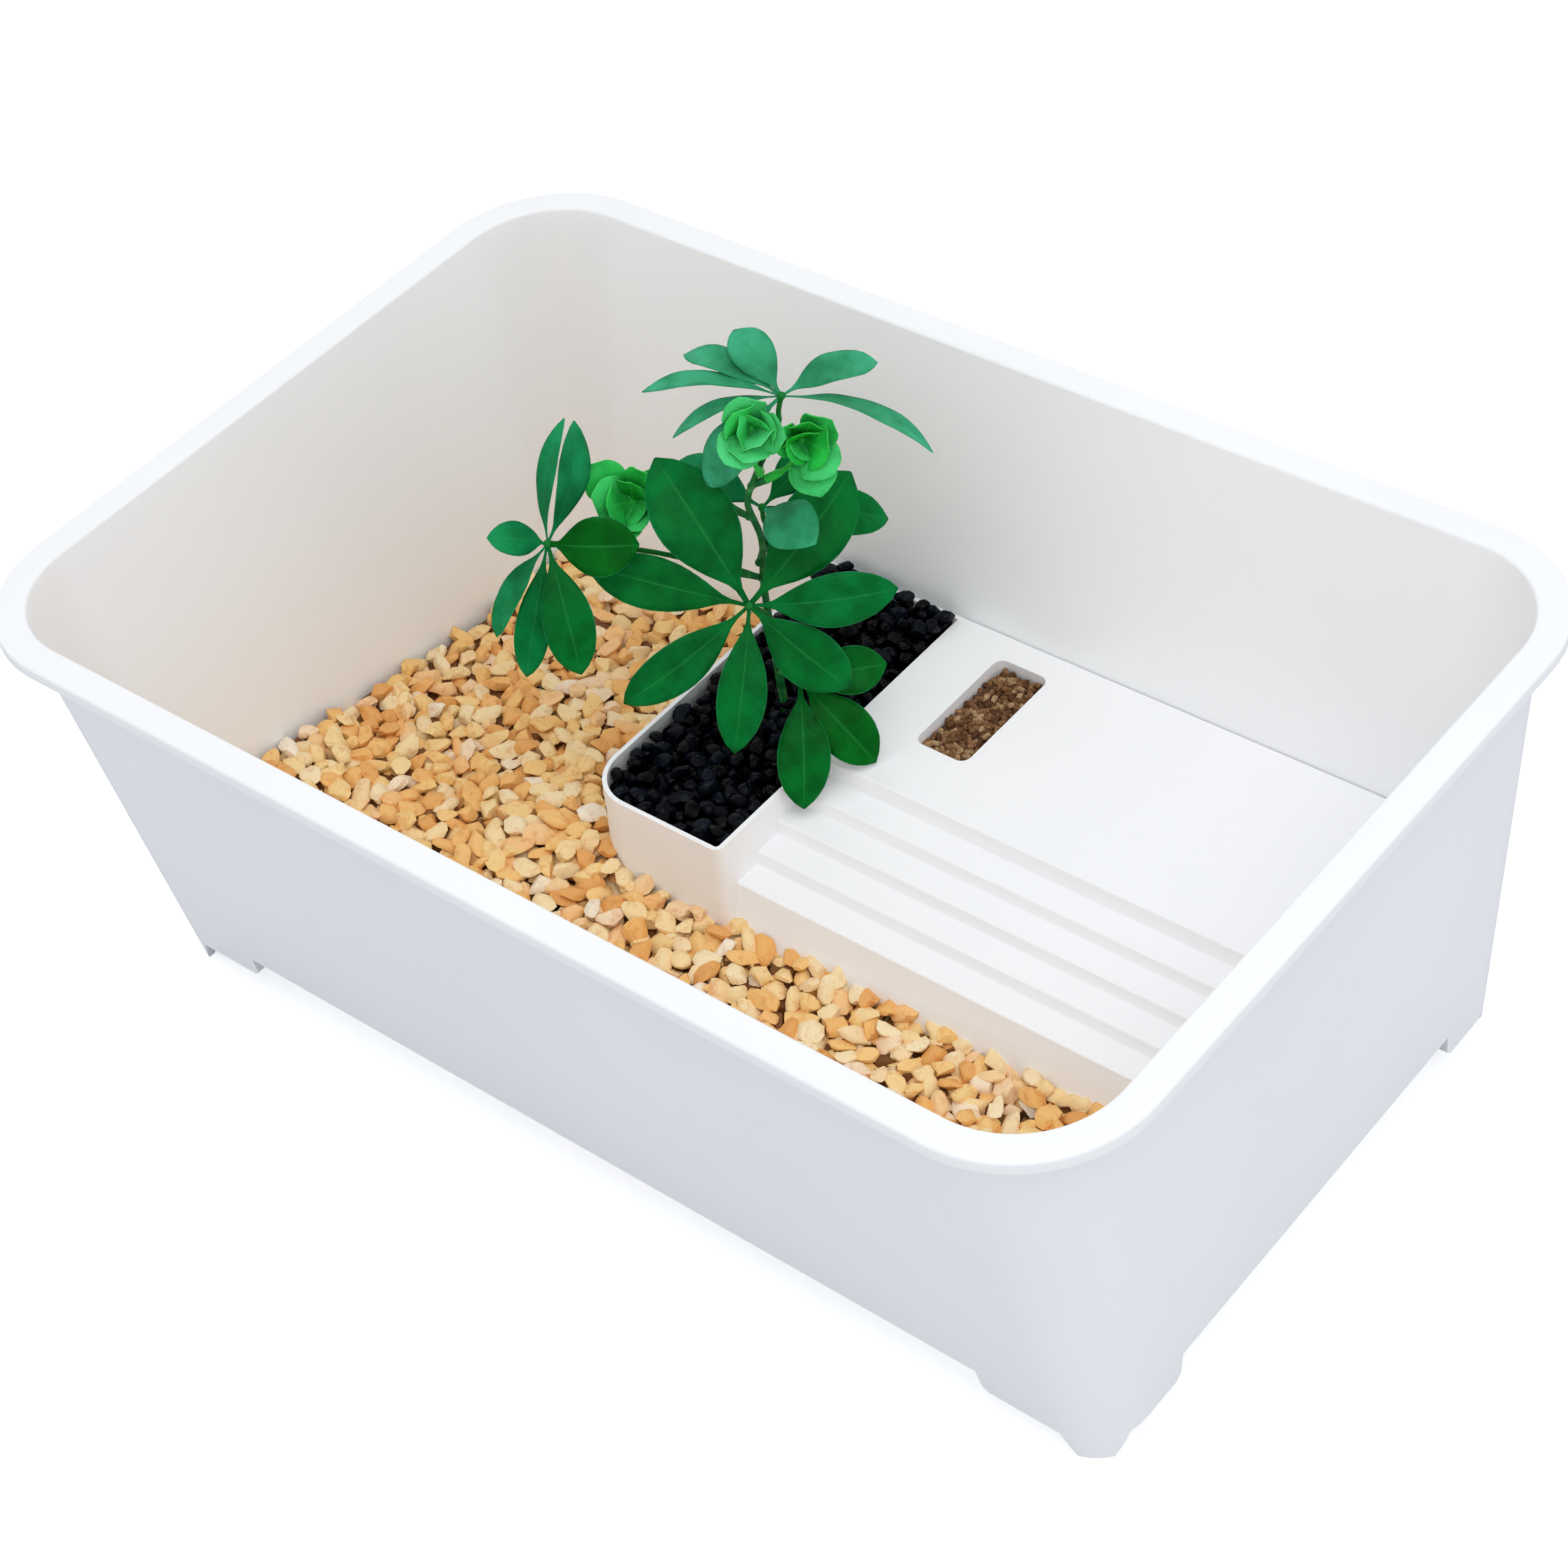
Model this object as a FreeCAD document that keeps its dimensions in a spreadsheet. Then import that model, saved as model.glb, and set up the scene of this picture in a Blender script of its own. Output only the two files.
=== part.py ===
import FreeCAD, Part
import functools
import math
import os
import random
import Sketcher
from FreeCAD import Vector

# Reptile tank: an open moulded tub on four corner feet, with a stepped basking platform
# that also holds a planter and a feed trough, a gravel bed, and an artificial umbrella
# plant standing in black stones.
# X runs along the length, Y from the front wall to the back wall, Z up. The origin is on
# the ground, under the middle of the tub. All sizes are in millimetres and degrees.

doc = FreeCAD.newDocument("reptile_tank")

# Driving dimensions

SIZES = [
    ("tub_length", 600, "over the rim, end to end"),
    ("tub_width", 394, "over the rim, front to back"),
    ("tub_height", 233, "ground to the top of the rim"),
    ("rim_flange", 14.4, "width of the flat rim"),
    ("rim_lip", 6, "height of the lip that turns down at the rim's edge"),
    ("rim_sheet", 2.6, "thickness of the rim and its lip"),
    ("rim_round", 1.6, "rounding of the rim's edges"),
    ("wall", 3, "thickness of the tub's walls and floor"),
    ("end_draft", 3.45, "lean of the two end walls"),
    ("side_draft", 8.67, "lean of the front and back walls"),
    ("rim_corner", 46, "corner radius of the opening"),
    ("ground_corner", 22, "corner radius of the outer wall at the ground"),
    ("foot_height", 29, "ground to the underside of the floor"),
    ("foot_wall", 4, "thickness of the corner feet"),
    ("skirt_drop", 14, "how far the skirt beside a foot reaches below the floor"),
    ("skirt_length", 63, "skirt, from the end of the tub, along the front"),
    ("skirt_depth", 49, "skirt, from the front of the tub, along the end"),
    ("pad_length", 24, "foot pad, from the end of the tub, along the front"),
    ("pad_depth", 15, "foot pad, from the front of the tub, along the end"),
    ("skirt_lean", 1, "sideways lean of the skirt's edge"),
    ("pad_lean", 7, "sideways lean of the pad's edge"),
    ("foot_corner", 3, "how much of the skirt's lower corner is cut off"),
    ("floor_round", 6, "rounding between the floor and the walls"),
    ("fit_gap", 0.8, "play between the platform and the tub"),
    ("deck_height", 90, "ground to the basking deck"),
    ("deck_edge", 48.8, "front edge of the deck, behind the middle of the tub"),
    ("top_riser", 8.1, "height of the first step down"),
    ("riser", 6.2, "height of each further step"),
    ("tread", 14.4, "depth of each tread"),
    ("riser_lean", 15, "lean of the risers"),
    ("platform_wall", 2.2, "thickness of the platform moulding"),
    ("nosing_round", 1, "rounding of the step edges"),
    ("planter_left", -105.5, "left face of the planter box"),
    ("planter_right", -23, "right face of the planter box"),
    ("planter_front", -24.4, "front face of the planter box"),
    ("planter_corner", 14, "radius of the planter's free corner"),
    ("planter_edge", 4, "radius of the planter's other corners"),
    ("trough_left", 8, "left side of the feed trough"),
    ("trough_length", 66, "trough, front to back"),
    ("trough_width", 29, "trough, left to right"),
    ("trough_front", 80, "front of the trough, behind the middle of the tub"),
    ("trough_corner", 5, "corner radius of the trough"),
    ("trough_depth", 12, "depth of the trough"),
    ("gravel_gap", 0.5, "play between the gravel and what holds it"),
    ("gravel_depth", 12.5, "gravel over the tub's floor"),
    ("gravel_bank", 25, "how much higher the gravel lies at the front of the left end"),
    ("bank_back", 60, "where that bank runs out, behind the middle of the tub"),
    ("bank_run", 140, "how far the bank rises from there towards the front"),
    ("pebble", 15.5, "spacing of the pebbles at the gravel's surface"),
    ("pebble_relief", 5, "height of a pebble over the gap beside it"),
    ("stone", 11.5, "spacing of the black planter stones"),
    ("stone_relief", 4.5, "height of a stone over the gap beside it"),
    ("stone_freeboard", 4.5, "planter rim to the stones' middle height, at the front"),
    ("stone_bank", 7, "how much higher the stones lie at the back"),
    ("pellet_length", 6.6, "length of a feed pellet"),
    ("pellet_thickness", 4.6, "across the flats of a feed pellet"),
    ("plant_height", 230.8, "planter floor to the top whorl"),
    ("plant_x", -60, "foot of the stem, from the middle of the tub"),
    ("plant_y", 70, "foot of the stem, behind the middle of the tub"),
    ("stem_thickness", 5, "stem at the foot"),
    ("stem_base_width", 30, "disc that the stem stands on"),
    ("stem_base_thickness", 4, "thickness of that disc"),
    ("stem_gap", 0.3, "play between the stones and the stem"),
    ("leaf_length", 78, "longest leaflet"),
    ("leaf_width", 36, "widest leaflet"),
    ("leaf_thickness", 0.9, "thickness of a leaflet at its rib"),
    ("leaf_stalk", 2.4, "thickness of a leaf stalk"),
    ("nub_thickness", 2.6, "pin on the stem that a stalk plugs on"),
    ("nub_length", 5, "length of that pin"),
    ("nub_gap", 0.05, "play round that pin"),
    ("socket_thickness", 4.6, "outside of the stalk's socket"),
]


def write_sheet(sizes):
    sheet = doc.addObject("Spreadsheet::Sheet", "Sizes")
    for row, (name, value, meaning) in enumerate(sizes, start=1):
        sheet.set(f"A{row}", name)
        sheet.set(f"B{row}", str(value))
        sheet.set(f"C{row}", meaning)
        sheet.setAlias(f"B{row}", name)
    doc.recompute()
    return sheet


sheet = write_sheet(SIZES)


@functools.lru_cache(maxsize=None)
def number(expression):
    return float(sheet.evalExpression(str(expression)))


def size(name):
    return number("Sizes." + name)


# Lengths that follow from the driving dimensions, as expressions

OPENING_X = "(Sizes.tub_length / 2 - Sizes.rim_flange)"
OPENING_Y = "(Sizes.tub_width / 2 - Sizes.rim_flange)"
FLOOR_TOP = "(Sizes.foot_height + Sizes.wall)"
PLANTER_FLOOR = "(Sizes.foot_height + Sizes.wall + Sizes.platform_wall)"
TROUGH_FLOOR = "(Sizes.deck_height - Sizes.trough_depth)"


def inner_x(height):
    return f"({OPENING_X} - tan(Sizes.end_draft) * (Sizes.tub_height - {height}))"


def inner_y(height):
    return f"({OPENING_Y} - tan(Sizes.side_draft) * (Sizes.tub_height - {height}))"


def corner_at(height):
    # The opening's corner radius shrinks evenly from the rim down to the ground.
    share = f"(({height}) / Sizes.tub_height)"
    return f"(Sizes.ground_corner + (Sizes.rim_corner - Sizes.ground_corner) * {share})"


# Sketches

def start_sketch(name, body=None, plane="XY_Plane", height="0", centre=("0", "0")):
    """A sketch on one of its body's origin planes, or free in the document, lifted to a height."""
    if body is None:
        sketch = doc.addObject("Sketcher::SketchObject", name)
        sketch.setExpression("Placement.Base.x", centre[0])
        sketch.setExpression("Placement.Base.y", centre[1])
        sketch.setExpression("Placement.Base.z", height)
        return sketch
    sketch = body.newObject("Sketcher::SketchObject", name)
    origin_plane = next(f for f in body.Origin.OriginFeatures if f.Role == plane)
    sketch.AttachmentSupport = (origin_plane, [""])
    sketch.MapMode = "FlatFace"
    sketch.setExpression("AttachmentOffset.Base.z", height)
    return sketch


def rule(sketch, kind, elements, name, expression):
    """A dimension of the sketch that follows an expression."""
    index = sketch.addConstraint(Sketcher.Constraint(kind, *elements, number(expression)))
    sketch.renameConstraint(index, name)
    sketch.setExpression("Constraints." + name, expression)


def add_rounded_rectangle(sketch, tag, half_x, half_y, radii):
    """Four sides and four corner arcs about the sketch's origin. Radii run anticlockwise
    from the lower left corner."""
    x = number(half_x)
    y = number(half_y)
    radius = [number(r) for r in radii]
    signs = [(-1, -1), (1, -1), (1, 1), (-1, 1)]
    centres = [Vector(sx * (x - r), sy * (y - r), 0) for (sx, sy), r in zip(signs, radius)]
    first = sketch.GeometryCount
    axis = Vector(0, 0, 1)
    for k in range(4):
        turn = math.pi + k * math.pi / 2
        circle = Part.Circle(centres[k], axis, radius[k])
        sketch.addGeometry(Part.ArcOfCircle(circle, turn, turn + math.pi / 2), False)
    for k in range(4):
        arc = sketch.Geometry[first + k]
        following = sketch.Geometry[first + (k + 1) % 4]
        sketch.addGeometry(Part.LineSegment(arc.EndPoint, following.StartPoint), False)
    for k in range(4):
        side = first + 4 + k
        sketch.addConstraint(Sketcher.Constraint("Tangent", first + k, 2, side, 1))
        sketch.addConstraint(Sketcher.Constraint("Tangent", side, 2, first + (k + 1) % 4, 1))
        sketch.addConstraint(Sketcher.Constraint("Horizontal" if k % 2 == 0 else "Vertical", side))
    for k in range(4):
        rule(sketch, "Radius", (first + k,), f"{tag}_radius_{k + 1}", radii[k])
    rule(sketch, "DistanceY", (first + 4, 1, -1, 1), tag + "_front", half_y)
    rule(sketch, "DistanceX", (-1, 1, first + 5, 1), tag + "_right", half_x)
    rule(sketch, "DistanceY", (-1, 1, first + 6, 1), tag + "_back", half_y)
    rule(sketch, "DistanceX", (first + 7, 1, -1, 1), tag + "_left", half_x)


def rounded_rectangle(name, half_x, half_y, radius, **where):
    sketch = start_sketch(name, **where)
    radii = radius if isinstance(radius, list) else [radius] * 4
    add_rounded_rectangle(sketch, "outline", half_x, half_y, radii)
    return sketch


def polygon(sketch, points):
    """A closed outline whose corners are given as expressions, measured from the origin."""
    places = [Vector(number(px), number(py), 0) for px, py in points]
    count = len(points)
    for k in range(count):
        sketch.addGeometry(Part.LineSegment(places[k], places[(k + 1) % count]), False)
    for k in range(count):
        sketch.addConstraint(Sketcher.Constraint("Coincident", k, 2, (k + 1) % count, 1))
    for k, (px, py) in enumerate(points):
        rule(sketch, "DistanceX", (-1, 1, k, 1), f"corner_{k + 1}_x", px)
        rule(sketch, "DistanceY", (-1, 1, k, 1), f"corner_{k + 1}_y", py)
    return sketch


def edges_of(feature, test):
    return [f"Edge{k}" for k, edge in enumerate(feature.Shape.Edges, start=1) if test(edge)]


def level_edge(edge, height):
    box = edge.BoundBox
    return abs(box.ZMin - height) < 0.01 and abs(box.ZMax - height) < 0.01


# Tub: one moulding of walls, floor, turned rim and four corner feet

def loft(body, kind, name, lower, upper):
    feature = body.newObject(kind, name)
    feature.Profile = lower
    feature.Sections = [upper]
    feature.Ruled = True
    return feature


def pocket_all_through(body, name, sketch):
    feature = body.newObject("PartDesign::Pocket", name)
    feature.Profile = sketch
    feature.Type = "ThroughAll"
    feature.Midplane = True
    return feature


def round_edges(body, name, edges, radius):
    rounded = body.Tip
    feature = body.newObject("PartDesign::Fillet", name)
    feature.Base = (rounded, edges)
    feature.setExpression("Radius", radius)
    doc.recompute()
    return feature


def gap_under_wall(half_width, foot_edge, skirt_edge):
    """The outline of the opening between two feet: deep between the skirts, shallow over them."""
    pad_end = f"({half_width} - {foot_edge})"
    skirt_end = f"({half_width} - {skirt_edge})"
    skirt_level = "(Sizes.foot_height - Sizes.skirt_drop)"
    right = [
        (f"({pad_end} + Sizes.pad_lean)", "-Sizes.wall"),
        (pad_end, skirt_level),
        (f"({skirt_end} + Sizes.skirt_lean + Sizes.foot_corner)", skirt_level),
        (f"({skirt_end} + Sizes.skirt_lean)", f"({skirt_level} + Sizes.foot_corner)"),
        (skirt_end, "Sizes.foot_height"),
    ]
    left = [(f"(-{px})", py) for px, py in reversed(right)]
    return right + left


def make_tub():
    body = doc.addObject("PartDesign::Body", "tub")
    body.Label = "tub"

    def outer(name, height):
        return rounded_rectangle(
            name,
            f"({inner_x(height)} + Sizes.wall)",
            f"({inner_y(height)} + Sizes.wall)",
            f"({corner_at(height)} + Sizes.wall)",
            body=body,
            height=height,
        )

    ground = outer("outer_at_ground", "0")
    top = outer("outer_at_rim", "Sizes.tub_height")
    loft(body, "PartDesign::AdditiveLoft", "outer_walls", ground, top)

    flange = rounded_rectangle(
        "rim_outline",
        "Sizes.tub_length / 2",
        "Sizes.tub_width / 2",
        "Sizes.rim_corner + Sizes.rim_flange",
        body=body,
        height="Sizes.tub_height - Sizes.rim_lip",
    )
    rim = body.newObject("PartDesign::Pad", "rim")
    rim.Profile = flange
    rim.setExpression("Length", "Sizes.rim_lip")

    channel = start_sketch("channel_outline", body=body, height="Sizes.tub_height - Sizes.rim_lip")
    inset = "(Sizes.rim_flange - Sizes.rim_sheet)"
    add_rounded_rectangle(
        channel,
        "lip",
        f"({OPENING_X} + {inset})",
        f"({OPENING_Y} + {inset})",
        [f"(Sizes.rim_corner + {inset})"] * 4,
    )
    add_rounded_rectangle(
        channel,
        "wall",
        f"({OPENING_X} + Sizes.wall)",
        f"({OPENING_Y} + Sizes.wall)",
        ["(Sizes.rim_corner + Sizes.wall)"] * 4,
    )
    hollow = body.newObject("PartDesign::Pocket", "rim_channel")
    hollow.Profile = channel
    hollow.Reversed = True
    hollow.setExpression("Length", "Sizes.rim_lip - Sizes.rim_sheet")

    low = rounded_rectangle(
        "cavity_at_floor",
        inner_x(FLOOR_TOP),
        inner_y(FLOOR_TOP),
        corner_at(FLOOR_TOP),
        body=body,
        height=FLOOR_TOP,
    )
    mouth = rounded_rectangle(
        "cavity_at_rim",
        OPENING_X,
        OPENING_Y,
        "Sizes.rim_corner",
        body=body,
        height="Sizes.tub_height",
    )
    loft(body, "PartDesign::SubtractiveLoft", "cavity", low, mouth)

    def under(name, height):
        return rounded_rectangle(
            name,
            f"({inner_x(height)} + Sizes.wall - Sizes.foot_wall)",
            f"({inner_y(height)} + Sizes.wall - Sizes.foot_wall)",
            f"({corner_at(height)} + Sizes.wall - Sizes.foot_wall)",
            body=body,
            height=height,
        )

    below = under("recess_at_ground", "0")
    above = under("recess_at_floor", "Sizes.foot_height")
    loft(body, "PartDesign::SubtractiveLoft", "recess_under_floor", below, above)

    half_x = f"({inner_x(0)} + Sizes.wall)"
    half_y = f"({inner_y(0)} + Sizes.wall)"
    front = start_sketch("gap_between_feet_front", body=body, plane="XZ_Plane")
    polygon(front, gap_under_wall(half_x, "Sizes.pad_length", "Sizes.skirt_length"))
    pocket_all_through(body, "front_and_back_gap", front)
    end = start_sketch("gap_between_feet_end", body=body, plane="YZ_Plane")
    polygon(end, gap_under_wall(half_y, "Sizes.pad_depth", "Sizes.skirt_depth"))
    pocket_all_through(body, "end_gaps", end)
    doc.recompute()

    floor_level = number(FLOOR_TOP)
    floor_edges = edges_of(body.Tip, lambda edge: level_edge(edge, floor_level))
    round_edges(body, "floor_rounding", floor_edges, "Sizes.floor_round")
    rim_level = size("tub_height")
    rim_edges = edges_of(body.Tip, lambda edge: level_edge(edge, rim_level))
    round_edges(body, "rim_rounding", rim_edges, "Sizes.rim_round")
    return body


# Basking platform: deck, four steps, planter box and feed trough in one moulding

def fitted_solid(name, inset, bottom):
    """A solid that follows the inside of the tub at a distance, with its foot drawn in to
    pass the rounding of the tub's floor."""
    bend = f"({FLOOR_TOP} + Sizes.floor_round)"
    levels = [(bottom, f"({inset} + Sizes.floor_round)"), (bend, inset), ("Sizes.tub_height", inset)]
    sections = []
    for k, (height, distance) in enumerate(levels, start=1):
        sections.append(rounded_rectangle(
            f"{name}_section_{k}",
            f"({inner_x(height)} - {distance})",
            f"({inner_y(height)} - {distance})",
            f"({corner_at(height)} - {inset})",
            height=height,
        ))
    solid = doc.addObject("Part::Loft", name)
    solid.Sections = sections
    solid.Solid = True
    solid.Ruled = True
    return solid


def extrude(name, sketch, direction, length):
    solid = doc.addObject("Part::Extrusion", name)
    solid.Base = sketch
    solid.DirMode = "Custom"
    solid.Dir = direction
    solid.Solid = True
    solid.setExpression("LengthFwd", length)
    return solid


def combine(kind, name, parts):
    solid = doc.addObject(kind, name)
    if kind == "Part::Cut":
        solid.Base, solid.Tool = parts
    else:
        solid.Shapes = parts
    return solid


def upright_block(name, box, radius, bottom, top):
    """A block with rounded corners. The box is its left, right, front and back, as expressions."""
    left, right, front, back = box
    sketch = rounded_rectangle(
        name + "_outline",
        f"(({right}) - ({left})) / 2",
        f"(({back}) - ({front})) / 2",
        radius,
        height=bottom,
        centre=(f"(({left}) + ({right})) / 2", f"(({front}) + ({back})) / 2"),
    )
    return extrude(name, sketch, Vector(0, 0, 1), f"({top}) - ({bottom})")


def step_outline():
    """The platform's side view, from its front foot up the steps and back over the deck."""
    lean = "tan(Sizes.riser_lean)"
    below_floor = f"({FLOOR_TOP} - 2 * Sizes.platform_wall)"
    y = "Sizes.deck_edge"
    z = "Sizes.deck_height"
    points = [(y, z)]
    for drop in ["Sizes.top_riser"] + ["Sizes.riser"] * 3:
        y = f"({y} - {lean} * {drop})"
        z = f"({z} - {drop})"
        points.append((y, z))
        y = f"({y} - Sizes.tread)"
        points.append((y, z))
    foot_y = f"({y} - {lean} * ({z} - {below_floor}))"
    points.append((foot_y, below_floor))
    points.append(("Sizes.tub_width / 2", below_floor))
    points.append(("Sizes.tub_width / 2", "Sizes.deck_height"))
    return points


def place_side_view(sketch, x):
    # The sketch's X runs along +Y and its Y along +Z, so that it is drawn seen from the right.
    sketch.Placement = FreeCAD.Placement(Vector(0, 0, 0), FreeCAD.Rotation(Vector(1, 1, 1), 120))
    sketch.setExpression("Placement.Base.x", x)


def make_platform():
    wall = "Sizes.platform_wall"
    envelope = fitted_solid("platform_envelope", "Sizes.fit_gap", FLOOR_TOP)
    hollow_bottom = f"({FLOOR_TOP} - {wall})"
    hollow_envelope = fitted_solid("hollow_envelope", f"(Sizes.fit_gap + {wall})", hollow_bottom)

    steps = doc.addObject("Sketcher::SketchObject", "step_profile")
    polygon(steps, step_outline())
    place_side_view(steps, f"Sizes.planter_right - {wall} / 2")
    ramp = extrude("ramp_and_deck", steps, Vector(1, 0, 0), "Sizes.tub_length / 2")
    planter_box = (
        "Sizes.planter_left",
        "Sizes.planter_right",
        "Sizes.planter_front",
        "Sizes.tub_width / 2",
    )
    edge = "Sizes.planter_edge"
    outer_radii = ["Sizes.planter_corner", edge, edge, edge]
    planter = upright_block("planter_block", planter_box, outer_radii, FLOOR_TOP, "Sizes.deck_height")
    block = combine("Part::MultiFuse", "platform_block", [ramp, planter])
    outside = combine("Part::MultiCommon", "platform_outside", [block, envelope])

    inner_steps = doc.addObject("Part::Offset2D", "inner_step_profile")
    inner_steps.Source = steps
    inner_steps.Mode = "Pipe"
    inner_steps.Join = "Intersection"
    inner_steps.setExpression("Value", f"-{wall}")
    under_deck = extrude("under_deck", inner_steps, Vector(1, 0, 0), "Sizes.tub_length / 2")
    under_deck.setExpression("Placement.Base.x", f"{wall} / 2")

    inner_radii = [f"({r} - {wall})" for r in outer_radii]
    inner_box = (
        f"Sizes.planter_left + {wall}",
        f"Sizes.planter_right - {wall}",
        f"Sizes.planter_front + {wall}",
        "Sizes.tub_width / 2",
    )
    well = upright_block(
        "planter_well", inner_box, inner_radii, PLANTER_FLOOR, "Sizes.deck_height + 1"
    )
    hollows = combine("Part::MultiFuse", "hollows", [under_deck, well])
    fitted_hollows = combine("Part::MultiCommon", "fitted_hollows", [hollows, hollow_envelope])
    shell = combine("Part::Cut", "platform_shell", [outside, fitted_hollows])

    trough_box = (
        "Sizes.trough_left",
        "Sizes.trough_left + Sizes.trough_width",
        "Sizes.trough_front",
        "Sizes.trough_front + Sizes.trough_length",
    )
    grow = ["-", "+", "-", "+"]
    shell_box = tuple(f"{side} {sign} {wall}" for side, sign in zip(trough_box, grow))
    trough_outside = upright_block(
        "trough_outside",
        shell_box,
        f"Sizes.trough_corner + {wall}",
        f"{TROUGH_FLOOR} - {wall}",
        "Sizes.deck_height",
    )
    trough_well = upright_block(
        "trough_well", trough_box, "Sizes.trough_corner", TROUGH_FLOOR, "Sizes.deck_height + 1"
    )
    with_trough = combine("Part::MultiFuse", "shell_with_trough", [shell, trough_outside])
    moulding = combine("Part::Cut", "moulding", [with_trough, trough_well])
    doc.recompute()

    # The step edges that run along the tank and stand proud are rounded.
    nosings = []
    for k, edge in enumerate(moulding.Shape.Edges, start=1):
        if is_nosing(edge):
            nosings.append((k, size("nosing_round"), size("nosing_round")))
    platform = doc.addObject("Part::Fillet", "basking_platform")
    platform.Base = moulding
    platform.Edges = nosings
    platform.Label = "basking_platform"
    return platform


def is_nosing(edge):
    points = [(number(y), number(z)) for y, z in step_outline()]
    box = edge.BoundBox
    along_x = box.XLength > size("tub_length") / 4 and box.YLength < 0.01 and box.ZLength < 0.01
    return along_x and any(
        abs(box.YMin - y) < 0.01 and abs(box.ZMin - z) < 0.01 for y, z in points[0:-3:2]
    )


# Loose fillings: a closed slab whose top is a packed layer of faceted stones

def straight_up(point, height, inset=0):
    return Vector(point.x, point.y, height)


# Shares of a stone's spacing: how far a gap is shifted, and how far a middle keeps off the edge.
GAP_SHIFT = 0.16
EDGE_CLEARANCE = 0.12
# Shares of the relief: how far a gap lies below the surface, and how high a stone stands.
GAP_SINK = 0.4
STONE_RISE = (0.8, 1.15)
# A stone's flat top: its width as a share of the stone's, and its slope.
CROWN_SHARE = (0.56, 0.72)
CROWN_SLOPE = 0.22
LATTICE_TRIES = 12


class Heap:
    """A slab of stones. Its plan is a flat face, its top rises and falls with surface(x, y),
    and lean(point, height) moves a point of its edge to follow what holds it."""

    def __init__(self, plan, surface, lean, levels, spacing, relief, seed):
        self.plan = plan
        self.rim = plan.OuterWire
        self.surface = surface
        self.lean = lean
        self.levels = levels
        self.spacing = spacing
        self.relief = relief
        self.draw = random.Random(seed)
        self.corners = {}
        self.shift = 0

    def corner(self, x, y):
        """The gap between stones at a corner of the lattice, shifted a little at random."""
        step = self.spacing / 100
        key = (round(x / step), round(y / step))
        if key not in self.corners:
            shift = GAP_SHIFT * self.spacing
            point = Vector(x + self.draw.uniform(-shift, shift), y + self.draw.uniform(-shift, shift), 0)
            self.set_corner(key, point, straight_up)
        return key

    def set_corner(self, key, point, lean):
        height = self.surface(point.x, point.y) - GAP_SINK * self.relief
        self.corners[key] = (lean(point, height), point)

    def cells(self):
        """Lattice cells whose middle lies well inside the plan, as their corner keys."""
        box = self.plan.BoundBox
        reach = self.spacing / math.sqrt(3)
        row_step = self.spacing * math.sqrt(3) / 2
        rows = int(box.YLength / row_step) + 2
        columns = int(box.XLength / self.spacing) + 2
        found = []
        for row in range(rows):
            for column in range(columns):
                x = box.XMin + (column + 0.5 * (row % 2) - self.shift) * self.spacing
                y = box.YMin + (row - self.shift) * row_step
                if not self.far_inside(Vector(x, y, 0)):
                    continue
                keys = []
                for k in range(6):
                    turn = math.radians(30 + 60 * k)
                    keys.append(self.corner(x + reach * math.cos(turn), y + reach * math.sin(turn)))
                found.append(keys)
        return found

    def far_inside(self, point):
        if not self.plan.isInside(point, 0.01, True):
            return False
        return self.rim.distToShape(Part.Vertex(point))[0] > EDGE_CLEARANCE * self.spacing

    def stone(self, keys):
        """One stone: a flat, slightly tipped top and six flanks down to the gaps."""
        ring = [self.corners[key][0] for key in keys]
        middle = sum(ring, Vector()) / 6
        tip_x = self.draw.uniform(-CROWN_SLOPE, CROWN_SLOPE)
        tip_y = self.draw.uniform(-CROWN_SLOPE, CROWN_SLOPE)
        share = self.draw.uniform(*CROWN_SHARE)
        height = middle.z + self.relief * self.draw.uniform(*STONE_RISE)
        crown = []
        for corner in ring:
            across = (corner - middle) * share
            rise = tip_x * across.x + tip_y * across.y
            crown.append(Vector(middle.x + across.x, middle.y + across.y, height + rise))
        faces = [facet(crown)]
        for k in range(6):
            following = (k + 1) % 6
            faces.append(facet([ring[k], ring[following], crown[following]]))
            faces.append(facet([ring[k], crown[following], crown[k]]))
        return faces

    def border(self, cells):
        """The outer edges of the cells, as a loop of corner keys. Its corners are brought to
        the plan's edge. Nothing where that doesn't give one outline clear of itself."""
        edges = set()
        for keys in cells:
            for k in range(6):
                edges.add((keys[k], keys[(k + 1) % 6]))
        outer = [(start, end) for start, end in edges if (end, start) not in edges]
        following = dict(outer)
        first = min(following)
        loop = [first]
        while following[loop[-1]] != first:
            loop.append(following[loop[-1]])
        if len(loop) < len(outer):
            return None
        for key in loop:
            nearest = self.rim.distToShape(Part.Vertex(self.corners[key][1]))[1][0][0]
            self.set_corner(key, nearest, self.lean)
        outline = [self.corners[key][1] for key in loop]
        return loop if is_clear_outline(outline, self.spacing / 50) else None

    def settle(self):
        """The cells and their border. The lattice is shifted until the border is clear."""
        for k in range(LATTICE_TRIES):
            self.shift = k / LATTICE_TRIES
            self.corners = {}
            cells = self.cells()
            loop = self.border(cells)
            if loop:
                return cells, loop
        raise RuntimeError("no place of the lattice suits the heap's plan")

    def solid(self):
        cells, loop = self.settle()
        faces = []
        for keys in cells:
            faces.extend(self.stone(keys))
        rings = [[self.corners[key][0] for key in loop]]
        for height, inset in self.levels:
            rings.append([self.lean(self.corners[key][1], height, inset) for key in loop])
        count = len(loop)
        for upper, lower in zip(rings, rings[1:]):
            for k in range(count):
                following = (k + 1) % count
                faces.append(facet([upper[k], lower[k], lower[following]]))
                faces.append(facet([upper[k], lower[following], upper[following]]))
        faces.append(facet(rings[-1]))
        return sewn_solid(faces)


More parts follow.
